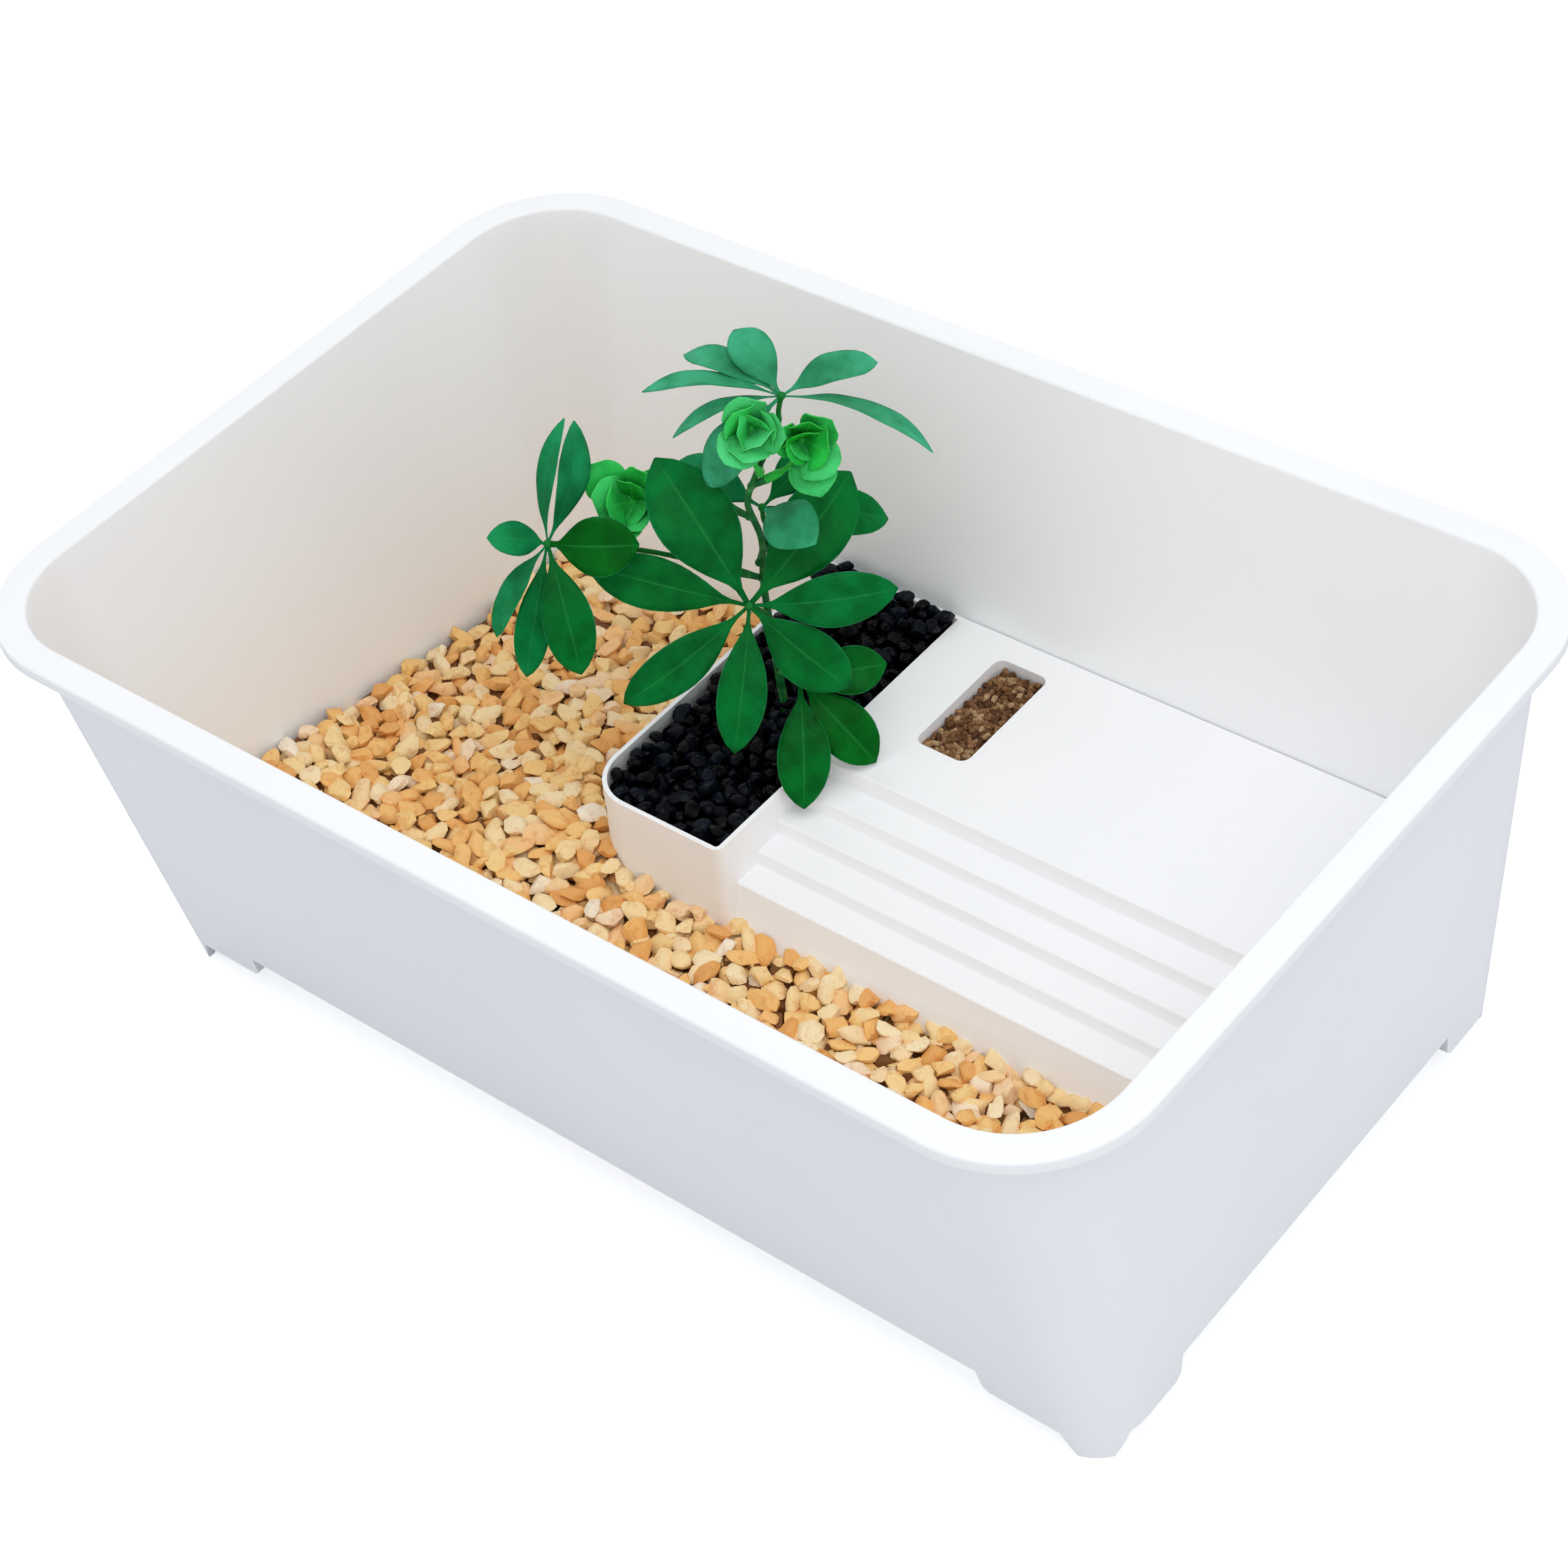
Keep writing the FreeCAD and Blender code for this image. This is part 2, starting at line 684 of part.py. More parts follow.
def side_of(start, end, point):
    return (end.x - start.x) * (point.y - start.y) - (end.y - start.y) * (point.x - start.x)


def is_clear_outline(points, least):
    """Whether a closed outline keeps its corners apart and never crosses itself."""
    count = len(points)
    for k in range(count):
        for m in range(k + 1, count):
            if (points[k] - points[m]).Length < least:
                return False
    for k in range(count):
        a, b = points[k], points[(k + 1) % count]
        for m in range(k + 2, count if k else count - 1):
            c, d = points[m], points[(m + 1) % count]
            if side_of(a, b, c) * side_of(a, b, d) < 0 and side_of(c, d, a) * side_of(c, d, b) < 0:
                return False
    return True


def facet(points):
    return Part.Face(Part.makePolygon(points + [points[0]]))


def sewn_solid(faces):
    shell = Part.Compound(faces)
    shell.sewShape()
    solid = Part.makeSolid(shell if shell.ShapeType == "Shell" else shell.Shells[0])
    if solid.Volume < 0:
        solid.reverse()
    return solid


def flat_rounded(left, right, front, back, radii):
    """A flat face with rounded corners, its radii anticlockwise from the lower left."""
    corners = [(left, front, 1, 1), (right, front, -1, 1), (right, back, -1, -1), (left, back, 1, -1)]
    edges = []
    last = None
    first = None
    for k, ((x, y, in_x, in_y), r) in enumerate(zip(corners, radii)):
        centre = Vector(x + in_x * r, y + in_y * r, 0)
        turn = math.pi + k * math.pi / 2
        arc = Part.ArcOfCircle(Part.Circle(centre, Vector(0, 0, 1), r), turn, turn + math.pi / 2)
        if last is not None:
            edges.append(Part.LineSegment(last, arc.StartPoint).toShape())
        else:
            first = arc.StartPoint
        edges.append(arc.toShape())
        last = arc.EndPoint
    edges.append(Part.LineSegment(last, first).toShape())
    return Part.Face(Part.Wire(Part.__sortEdges__(edges)))


def reach_into(value, half, band):
    """From 0 to 1, or to -1 on the low side, over the band beside each edge."""
    share = max(0, abs(value) - (half - band)) / band
    return math.copysign(min(share, 1), value)


# The gravel's notch for the planter has a tighter corner than the planter, and the stones'
# plan keeps at least this corner radius.
NOTCH_CORNER = 0.75
LEAST_CORNER = 0.5


def make_gravel():
    gap = size("gravel_gap")
    bend = number(f"{FLOOR_TOP} + Sizes.floor_round")
    floor = number(FLOOR_TOP)
    half_x = number(inner_x(bend)) - gap
    half_y = number(inner_y(bend)) - gap
    radius = number(corner_at(bend)) - gap
    tub = flat_rounded(-half_x, half_x, -half_y, half_y, [radius] * 4)

    outline = [(number(y), number(z)) for y, z in step_outline()]
    lean = math.tan(math.radians(size("riser_lean")))
    last_tread_y, last_tread_z = outline[-4]
    foot_y = last_tread_y - lean * (last_tread_z - floor) - gap
    edge = size("planter_edge")
    planter = flat_rounded(
        size("planter_left") - gap,
        size("planter_right") + gap,
        size("planter_front") - gap,
        half_y + edge + 1,
        [NOTCH_CORNER * size("planter_corner"), edge + gap, edge, edge],
    )
    right = size("planter_right")
    ramp = Part.makePlane(half_x - right + 1, half_y - foot_y + 1, Vector(right, foot_y, 0))
    plan = tub.cut(planter).cut(ramp).Faces[0]

    end_slope = math.tan(math.radians(size("end_draft")))
    side_slope = math.tan(math.radians(size("side_draft")))

    def surface(x, y):
        left_share = min(1, max(0, (size("planter_left") - x) / (half_x + size("planter_left"))))
        front_share = min(1, max(0, (size("bank_back") - y) / size("bank_run")))
        bank = size("gravel_bank") * left_share * front_share
        return floor + size("gravel_depth") + bank

    def follow(point, height, inset=0):
        """Edges against the tub lean out with its walls. The others are upright."""
        up = height - bend
        outward_x = end_slope * up - inset
        outward_y = side_slope * up - inset
        x = point.x + outward_x * reach_into(point.x, half_x, radius)
        y = point.y
        if point.y < 0 or point.x < size("planter_left"):
            y += outward_y * reach_into(point.y, half_y, radius)
        return Vector(x, y, height)

    levels = [(bend, 0), (floor, size("floor_round"))]
    heap = Heap(plan, surface, follow, levels, size("pebble"), size("pebble_relief"), 11)
    gravel = doc.addObject("Part::Feature", "gravel")
    gravel.Shape = heap.solid()
    gravel.Label = "gravel"
    return gravel


def make_planter_stones():
    gap = size("gravel_gap") + size("platform_wall")
    floor = number(PLANTER_FLOOR)
    left = size("planter_left") + gap
    right = size("planter_right") - gap
    front = size("planter_front") + gap
    bend = number(f"{FLOOR_TOP} + Sizes.floor_round")
    back = number(inner_y(bend)) - size("fit_gap") - gap
    edge = max(size("planter_edge") - size("platform_wall"), LEAST_CORNER)
    free = max(size("planter_corner") - size("platform_wall"), LEAST_CORNER)
    plan = flat_rounded(left, right, front, back, [free, edge, edge, edge])

    def surface(x, y):
        share = (y - front) / (back - front)
        return size("deck_height") - size("stone_freeboard") + size("stone_bank") * share ** 2

    def follow(point, height, inset=0):
        """The back edge leans with the tub's back wall."""
        share = max(0, point.y - back + edge) / edge
        outward = math.tan(math.radians(size("side_draft"))) * (height - bend) - inset
        return Vector(point.x, point.y + outward * share, height)

    levels = [(bend, 0), (floor, size("floor_round"))]
    heap = Heap(plan, surface, follow, levels, size("stone"), size("stone_relief"), 5)
    hole = size("stem_thickness") / 2 + size("stem_gap")
    foot = plant_point(*STEM_KNOTS[0])
    stem_hole = cone_between(foot, plant_point(*STEM_KNOTS[1]), hole, hole)
    disc_radius = size("stem_base_width") / 2 + size("stem_gap")
    disc_hole = Part.makeCylinder(disc_radius, size("stem_base_thickness") + size("stem_gap"), foot)
    stones = doc.addObject("Part::Feature", "planter_stones")
    stones.Shape = heap.solid().cut(stem_hole.fuse(disc_hole))
    stones.Label = "planter_stones"
    return stones


# Spacing of the pellets in pellet lengths, and their distance from the trough's sides in
# spacings.
PELLET_SPACING = 1.28
PELLET_MARGIN = 0.55


def make_pellets():
    """One loose layer of pressed pellets, each a six-sided rod lying on the trough's floor."""
    draw = random.Random(3)
    across = size("pellet_thickness")
    length = size("pellet_length")
    pitch = PELLET_SPACING * length
    margin = PELLET_MARGIN * pitch
    columns = int((size("trough_width") - pitch) / pitch + 1.001)
    rows = int((size("trough_length") - pitch) / pitch + 1.001)
    span_x = (size("trough_width") - 2 * margin) / max(columns - 1, 1)
    span_y = (size("trough_length") - 2 * margin) / max(rows - 1, 1)
    pellets = []
    for column in range(columns):
        for row in range(rows):
            middle = Vector(
                size("trough_left") + margin + column * span_x,
                size("trough_front") + margin + row * span_y,
                number(TROUGH_FLOOR) + across / 2,
            )
            pellets.append(pellet(across, length, middle, draw.uniform(0, 180)))
    feed = doc.addObject("Part::Feature", "feed_pellets")
    feed.Shape = Part.makeCompound(pellets)
    feed.Label = "feed_pellets"
    return feed


def pellet(across, length, middle, turn):
    radius = across / math.sqrt(3)
    ring = []
    for k in range(6):
        angle = math.radians(60 * k)
        ring.append(Vector(-length / 2, radius * math.cos(angle), radius * math.sin(angle)))
    rod = facet(ring).extrude(Vector(length, 0, 0))
    rod.rotate(Vector(), Vector(0, 0, 1), turn)
    rod.translate(middle)
    return rod


# Artificial umbrella plant: a stem with pins, and leaf whorls whose stalks plug on them

def plant_point(x, y, z):
    """A place on the plant, in hundredths of its height from the foot of the stem."""
    foot = Vector(size("plant_x"), size("plant_y"), number(PLANTER_FLOOR))
    return foot + Vector(x, y, z) * (size("plant_height") / 100)


STEM_KNOTS = [(0, 0, 0), (-0.5, -0.5, 54.2), (0.5, 0.5, 66.9), (-1.0, -1.0, 76.6), (3.4, 3.4, 89.3)]

# Each whorl: its place on the stem, the end of its twig, the bend of its stalk, its middle,
# the turn and rise of the way it faces, and its leaflets. A leaflet has its turn about the
# whorl, its rise towards the way it faces, its length in hundredths of the longest and its
# width in hundredths of the widest.
WHORLS = {
    "middle_leaf_whorl": {
        "from": (-0.5, -0.5, 46.4),
        "twig": (0.5, -2.4, 49.3),
        "bend": (2.4, -6.8, 55.6),
        "middle": (4.9, -10.4, 59.7),
        "faces": (-44, 30),
        "leaflets": [
            (110, -2, 100, 100), (156, -7, 97, 68), (-148, -2, 93, 62), (-104, 6, 86, 62),
            (-52, -3, 77, 74), (-6, 3, 86, 68), (39, -13, 98, 93),
        ],
    },
    "left_leaf_whorl": {
        "from": (-0.5, -0.5, 57.1),
        "twig": (-2.9, -3.4, 59.5),
        "bend": (-17.5, -14.5, 67.5),
        "middle": (-28.3, -28.6, 74.2),
        "faces": (-44, 30),
        "leaflets": [
            (83, 4, 75, 34), (57, -5, 73, 56), (-140, 3, 62, 50), (150, 30, 40, 52),
            (-111, -4, 82, 62), (-83, 5, 79, 70), (-9, 20, 56, 76),
        ],
    },
    "top_leaf_whorl": {
        "from": (3.4, 3.4, 89.3),
        "twig": (4.3, 4.3, 92.2),
        "bend": (5.3, 5.3, 96.6),
        "middle": (6, 6, 100),
        "faces": (-44, 62),
        "leaflets": [
            (160, 3, 79, 45), (137, -4, 64, 56), (114, 5, 49, 56), (15, 2, 58, 62),
            (-20, -6, 92, 48), (180, -7, 66, 40), (-150, -35, 72, 60),
        ],
    },
    "rear_leaf_whorl": {
        "from": (-0.5, -0.5, 61),
        "twig": (-0.9, 2.1, 63),
        "bend": (-1.4, 3.4, 68.5),
        "middle": (-0.6, 2.9, 72.4),
        "faces": (-44, 50),
        "leaflets": [(-8, -25, 82, 60), (-50, 40, 52, 70), (38, -12, 54, 52), (140, -14, 60, 55)],
    },
    "lower_leaf_whorl": {
        "from": (-0.3, -0.3, 31.8),
        "twig": (1.9, -1.5, 33.7),
        "bend": (6.8, -4.4, 38.1),
        "middle": (11.7, -6.9, 40.6),
        "faces": (-44, 43),
        "leaflets": [(-95, -2, 75, 68), (-56, -5, 66, 70), (1, 0, 52, 62)],
    },
    "top_young_leaves": {
        "from": (1.6, 1.6, 83.9),
        "twig": (4.2, -1.0, 86),
        "bend": (7, -5, 92),
        "middle": (6.4, -3.6, 99),
        "faces": (-44, 25),
        "leaflets": [(100, 40, 28, 60), (220, 40, 28, 60), (345, 40, 23, 54)],
    },
    "upper_young_leaves": {
        "from": (0.2, 0.2, 80),
        "twig": (2.8, 1.9, 81.6),
        "bend": (9.3, 3.6, 87.3),
        "middle": (12, 3.5, 93.8),
        "faces": (-40, 20),
        "leaflets": [(35, 40, 26, 56), (155, 40, 22, 46), (275, 30, 34, 62)],
    },
    "left_young_leaves": {
        "from": (-0.8, -0.8, 72.7),
        "twig": (-4.4, -2.0, 74.3),
        "bend": (-12, -6.5, 76.5),
        "middle": (-22, -10.5, 74.5),
        "faces": (-60, 40),
        "leaflets": [(20, 35, 34, 60), (140, 38, 36, 60), (255, 35, 32, 58)],
    },
}

# Stations along a leaflet: share of the length, half width, and lift of the rib's line, the
# last two as shares of the half width and of the length.
LEAF_STATIONS = [
    (0.0, 0.08, 0.0), (0.14, 0.10, 0.012), (0.3, 0.62, 0.035), (0.52, 0.98, 0.045),
    (0.74, 0.86, 0.025), (0.9, 0.46, -0.01), (1.0, 0.06, -0.04),
]
LEAF_FOLD = 0.16
LEAF_EDGE = 0.45
STALK_STATIONS = 9
# The end of a stalk swells where its leaflets meet: places before or past the whorl's middle,
# and thicknesses, in stalk thicknesses.
WHORL_KNOB = [(-1.2, 1), (-0.6, 1.7), (1, 1.5)]
# In pin lengths from the end of the twig: the socket's end, and the start of the bare stalk.
SOCKET_END = 1.4
STALK_START = 1.2
# The stem: knots and twig starts as shares of its thickness there, and what its tip has over a
# leaf stalk.
STEM_KNOT = 1.12
TWIG_START = 0.8
STEM_TIP_EXTRA = 0.5


def cone_between(start, end, start_radius, end_radius):
    along = end - start
    if abs(start_radius - end_radius) < 1e-6:
        return Part.makeCylinder(start_radius, along.Length, start, along)
    return Part.makeCone(start_radius, end_radius, along.Length, start, along)


def faceted_tube(stations):
    """An eight-sided tube through stations, each a point and a radius."""
    rings = []
    across = None
    for k, (point, radius) in enumerate(stations):
        before = stations[max(k - 1, 0)][0]
        after = stations[min(k + 1, len(stations) - 1)][0]
        along = (after - before).normalize()
        if across is None:
            across = along.cross(Vector(1, 0.3, 0))
        across = (across - along * across.dot(along)).normalize()
        beside = along.cross(across)
        ring = []
        for side in range(8):
            turn = math.radians(45 * side)
            ring.append(point + across * (radius * math.cos(turn)) + beside * (radius * math.sin(turn)))
        rings.append(ring)
    faces = [facet(rings[0]), facet(rings[-1])]
    for near, far in zip(rings, rings[1:]):
        for k in range(8):
            following = (k + 1) % 8
            faces.append(facet([near[k], near[following], far[following]]))
            faces.append(facet([near[k], far[following], far[k]]))
    return sewn_solid(faces)


def leaflet(length, width, thickness):
    """A leaflet along +X, folded a little at its rib. Its section is a shallow V whose two
    halves thin out to the edges."""
    sections = []
    for share, spread, lift in LEAF_STATIONS:
        x = share * length
        half = spread * width / 2
        rib = lift * length
        edge = rib + LEAF_FOLD * half
        thin = thickness * LEAF_EDGE
        sections.append([
            Vector(x, -half, edge),
            Vector(x, 0, rib - thickness / 2),
            Vector(x, half, edge),
            Vector(x, half, edge + thin),
            Vector(x, 0, rib + thickness / 2),
            Vector(x, -half, edge + thin),
        ])
    faces = [facet(sections[0]), facet(sections[-1])]
    for near, far in zip(sections, sections[1:]):
        for k in range(6):
            following = (k + 1) % 6
            faces.append(facet([near[k], far[k], far[following]]))
            faces.append(facet([near[k], far[following], near[following]]))
    return sewn_solid(faces)


def turned_leaflet(blade, middle, facing, side, up, turn, rise):
    turn = math.radians(turn)
    rise = math.radians(rise)
    outward = side * math.cos(turn) + up * math.sin(turn)
    along = outward * math.cos(rise) + facing * math.sin(rise)
    normal = facing * math.cos(rise) - outward * math.sin(rise)
    across = normal.cross(along)
    matrix = FreeCAD.Matrix(
        along.x, across.x, normal.x, middle.x,
        along.y, across.y, normal.y, middle.y,
        along.z, across.z, normal.z, middle.z,
        0, 0, 0, 1,
    )
    blade.Placement = FreeCAD.Placement(matrix)
    return blade


def make_whorl(name, plan):
    turn, rise = (math.radians(angle) for angle in plan["faces"])
    facing = Vector(math.cos(turn) * math.cos(rise), math.sin(turn) * math.cos(rise), math.sin(rise))
    side = Vector(0, 0, 1).cross(facing).normalize()
    up = facing.cross(side)
    middle = plant_point(*plan["middle"])
    twig_start = plant_point(*plan["from"])
    twig_end = plant_point(*plan["twig"])
    bend = plant_point(*plan["bend"])

    along = (twig_end - twig_start).normalize()
    depth = size("nub_length")
    socket_end = twig_end + along * (depth * SOCKET_END)
    bore = size("nub_thickness") / 2 + size("nub_gap")
    socket_radius = size("socket_thickness") / 2
    socket = cone_between(twig_end, socket_end, socket_radius, socket_radius)
    pin_room = cone_between(twig_end - along, twig_end + along * depth, bore, bore)

    stalk_radius = size("leaf_stalk") / 2
    start = twig_end + along * (depth * STALK_START)
    path = Part.Arc(start, bend, middle).toShape()
    stations = [(point, stalk_radius) for point in path.discretize(STALK_STATIONS)]
    onward = (stations[-1][0] - stations[-2][0]).normalize()
    stations.pop()
    for place, swell in WHORL_KNOB:
        stations.append((middle + onward * (stalk_radius * place), stalk_radius * swell))

    pieces = [faceted_tube(stations)]
    for leaf_turn, leaf_rise, length, width in plan["leaflets"]:
        blade = leaflet(
            size("leaf_length") * length / 100,
            size("leaf_width") * width / 100,
            size("leaf_thickness"),
        )
        pieces.append(turned_leaflet(blade, middle, facing, side, up, leaf_turn, leaf_rise))
    whorl = doc.addObject("Part::Feature", name)
    whorl.Shape = socket.multiFuse(pieces).cut(pin_room)
    whorl.Label = name
    return whorl


def make_stem():
    knots = [plant_point(*knot) for knot in STEM_KNOTS]
    foot_radius = size("stem_thickness") / 2
    tip_radius = size("leaf_stalk") / 2 + STEM_TIP_EXTRA
    reach = knots[-1].z - knots[0].z

    def radius_at(point):
        share = (point.z - knots[0].z) / reach
        return foot_radius + (tip_radius - foot_radius) * share

    pieces = []
    knots[0].z += size("stem_base_thickness") / 2
    for start, end in zip(knots, knots[1:]):
        pieces.append(cone_between(start, end, radius_at(start), radius_at(end)))
        pieces.append(Part.makeSphere(radius_at(end) * STEM_KNOT, end))
    for plan in WHORLS.values():
        start = plant_point(*plan["from"])
        end = plant_point(*plan["twig"])
        along = (end - start).normalize()
        pin = size("nub_thickness") / 2
        twig_radius = radius_at(start) * TWIG_START
        pieces.append(cone_between(start, end, twig_radius, size("socket_thickness") / 2))
        pieces.append(cone_between(start, end + along * size("nub_length"), pin, pin))
    foot = plant_point(*STEM_KNOTS[0])
    disc = Part.makeCylinder(size("stem_base_width") / 2, size("stem_base_thickness"), foot)
    stem = doc.addObject("Part::Feature", "plant_stem")
    stem.Shape = disc.multiFuse(pieces)
    stem.Label = "plant_stem"
    return stem


# Build, check and write

def check_document():
    faults = []
    for item in doc.Objects:
        if "Invalid" in item.State or "Error" in item.State:
            faults.append(f"{item.Name}: {item.State}")
    return faults


def write_parts(parts):
    os.makedirs("parts", exist_ok=True)
    for part in parts:
        shape = part.Shape
        if shape.isNull() or not shape.isValid():
            raise RuntimeError(f"{part.Label} has no valid shape")
        shape.exportStep(f"parts/{part.Label}.step")
        box = shape.BoundBox
        print(
            f"{part.Label}: {len(shape.Solids)} solid(s), {len(shape.Faces)} faces,"
            f" volume {shape.Volume / 1000:.1f} cm3,"
            f" box {box.XLength:.1f} x {box.YLength:.1f} x {box.ZLength:.1f}"
        )


parts = [make_tub(), make_platform(), make_gravel(), make_planter_stones(), make_pellets(), make_stem()]
for whorl_name, whorl_plan in WHORLS.items():
    parts.append(make_whorl(whorl_name, whorl_plan))
doc.recompute()
problems = check_document()
if problems:
    raise RuntimeError("; ".join(problems))
write_parts(parts)
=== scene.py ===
# %% [markdown]
# # A reptile tank in Blender
#
# The real thing is an open white tub, moulded in one piece, that stands on four corner
# feet. A second moulding stands inside it: a basking deck with steps down to the water, a
# planter box and a small feed trough. Tan gravel covers the rest of the floor, the planter
# is filled with black stones, and an artificial umbrella plant stands in them.
#
# The solids of the model are loaded first. They give every piece its place and its size.
# Each step below then adds the form and the finish that the eye sees.

# %% Load the solids
import math
import random

import bmesh
import bpy
import numpy as np
from mathutils import Matrix, Vector


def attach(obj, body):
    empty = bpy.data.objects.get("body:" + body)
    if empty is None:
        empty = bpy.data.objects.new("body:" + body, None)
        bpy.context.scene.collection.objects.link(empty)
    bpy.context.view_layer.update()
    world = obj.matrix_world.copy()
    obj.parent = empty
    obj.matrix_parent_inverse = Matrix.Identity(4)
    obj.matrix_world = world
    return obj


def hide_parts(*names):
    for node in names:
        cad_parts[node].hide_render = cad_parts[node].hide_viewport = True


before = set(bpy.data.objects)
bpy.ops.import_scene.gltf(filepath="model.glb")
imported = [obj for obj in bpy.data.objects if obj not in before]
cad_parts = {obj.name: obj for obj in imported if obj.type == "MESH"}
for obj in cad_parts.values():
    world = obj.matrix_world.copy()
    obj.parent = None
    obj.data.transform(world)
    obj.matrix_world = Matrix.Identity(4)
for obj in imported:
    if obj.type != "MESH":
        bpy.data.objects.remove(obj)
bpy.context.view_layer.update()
MM = 0.001
print("pieces loaded:", ", ".join(sorted(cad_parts)))

# %% [markdown]
# ## Colours and nodes
#
# Colours are easiest to pick as the hex codes of a paint program, but Blender's shaders
# want linear light, so one function converts them. Materials are made of small nodes. One
# helper adds a node, sets its options and fills its inputs, with plain values or with the
# output of another node.

# %% Colour and node helpers
def colour(code):
    """Linear light, red, green, blue and alpha, from a hex code."""
    channels = [int(code[k:k + 2], 16) / 255 for k in (1, 3, 5)]
    linear = [c / 12.92 if c <= 0.04045 else ((c + 0.055) / 1.055) ** 2.4 for c in channels]
    return (*linear, 1.0)


def add_node(tree, kind, options=None, inputs=None):
    node = tree.nodes.new(kind)
    for name, value in (options or {}).items():
        setattr(node, name, value)
    for name, value in (inputs or {}).items():
        if isinstance(value, bpy.types.NodeSocket):
            tree.links.new(value, node.inputs[name])
        else:
            node.inputs[name].default_value = value
    return node


def new_material(name, surface):
    """An empty material with one shader, whose fixed values are given."""
    material = bpy.data.materials.new(name)
    material.use_nodes = True
    tree = material.node_tree
    tree.nodes.clear()
    shader = add_node(tree, "ShaderNodeBsdfPrincipled", inputs=surface)
    output = add_node(tree, "ShaderNodeOutputMaterial")
    tree.links.new(shader.outputs["BSDF"], output.inputs["Surface"])
    return material, tree, shader


def speckle(tree, size_mm, detail=2.0, roughness=0.5, distortion=0.0):
    """Noise whose lumps are about size_mm wide on the real piece."""
    place = add_node(tree, "ShaderNodeTexCoord")
    return add_node(
        tree,
        "ShaderNodeTexNoise",
        inputs={
            "Vector": place.outputs["Object"],
            "Scale": 1 / (size_mm * MM),
            "Detail": detail,
            "Roughness": roughness,
            "Distortion": distortion,
        },
    )


def ramp(tree, source, stops, interpolation="LINEAR"):
    """Turns a number from 0 to 1 into a colour."""
    node = add_node(tree, "ShaderNodeValToRGB", inputs={"Fac": source})
    node.color_ramp.interpolation = interpolation
    elements = node.color_ramp.elements
    while len(elements) < len(stops):
        elements.new(0.5)
    for element, (position, code) in zip(elements, stops):
        element.position = position
        element.color = colour(code)
    return node


def bump(tree, height, depth_mm, strength=1.0, under=None):
    """Relief of a real depth. Another relief can lie under it."""
    inputs = {"Height": height, "Distance": depth_mm * MM, "Strength": strength}
    if under is not None:
        inputs["Normal"] = under
    return add_node(tree, "ShaderNodeBump", inputs=inputs)


def tint(tree, base, by, share):
    """One colour multiplied by another, by a share."""
    node = add_node(tree, "ShaderNodeMix", {"data_type": "RGBA", "blend_type": "MULTIPLY"})
    node.inputs["Factor"].default_value = share
    tree.links.new(base, node.inputs[6])
    tree.links.new(by, node.inputs[7])
    return node.outputs[2]


def blend(tree, share, base, other):
    """Leads from one colour to a fixed one where the share rises from 0 to 1."""
    node = add_node(tree, "ShaderNodeMix", {"data_type": "RGBA"})
    tree.links.new(share, node.inputs["Factor"])
    tree.links.new(base, node.inputs[6])
    node.inputs[7].default_value = other
    return node.outputs[2]


# %% [markdown]
# ## White moulded plastic
#
# Polypropylene from a mould is nearly white and a little milky, with a soft satin gloss.
# Its skin isn't perfect: the melt flows unevenly, so a large wall shows very faint clouds
# and is never quite flat. Two noises about as large as a hand give the clouds and the slow
# waves, and one below a millimetre gives the fine grain of the mould.

# %% The plastic's material
def moulded_plastic(name, light, dark, roughness):
    material, tree, shader = new_material(name, {"Roughness": roughness, "Specular IOR Level": 0.45})
    clouds = speckle(tree, 140, detail=3)
    milk = ramp(tree, clouds.outputs["Fac"], [(0.3, dark), (0.7, light)])
    tree.links.new(milk.outputs["Color"], shader.inputs["Base Color"])
    waves = speckle(tree, 60, detail=1)
    slow = bump(tree, waves.outputs["Fac"], 0.25, 0.5)
    grain = speckle(tree, 0.8, detail=2)
    fine = bump(tree, grain.outputs["Fac"], 0.02, 0.35, slow.outputs["Normal"])
    tree.links.new(fine.outputs["Normal"], shader.inputs["Normal"])
    return material


tub_plastic = moulded_plastic("tub_plastic", "#FCFDFE", "#F9FAFC", 0.36)
deck_plastic = moulded_plastic("deck_plastic", "#FDFDFE", "#FAFBFD", 0.40)
print("materials:", tub_plastic.name, deck_plastic.name)

# %% [markdown]
# ## The tub
#
# The solid already has the tub's walls, its rim, its rounded floor and its corner feet. A
# real moulding has no knife edges, because the melt wouldn't fill them. So the solid's
# mesh is copied, its double points are merged, its flat faces are joined again, and a
# Bevel modifier rounds every edge that is still sharp. Shading by angle then keeps the
# large faces flat and the round ones smooth.

# %% Soften a moulding
def clean_copy(node, name):
    """A welded copy of a solid's mesh, with its flat faces joined again."""
    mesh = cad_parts[node].data.copy()
    shape = bmesh.new()
    shape.from_mesh(mesh)
    bmesh.ops.remove_doubles(shape, verts=shape.verts, dist=0.002 * MM)
    bmesh.ops.dissolve_limit(
        shape, angle_limit=math.radians(0.4), verts=shape.verts, edges=shape.edges
    )
    shape.to_mesh(mesh)
    shape.free()
    mesh.name = name
    return mesh


def add_piece(name, mesh, node, materials):
    """Puts a finished mesh in the scene as the piece that stands for a solid."""
    piece = bpy.data.objects.new(name, mesh)
    bpy.context.scene.collection.objects.link(piece)
    mesh.materials.clear()
    for material in materials:
        mesh.materials.append(material)
    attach(piece, "root")
    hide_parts(node)
    return piece


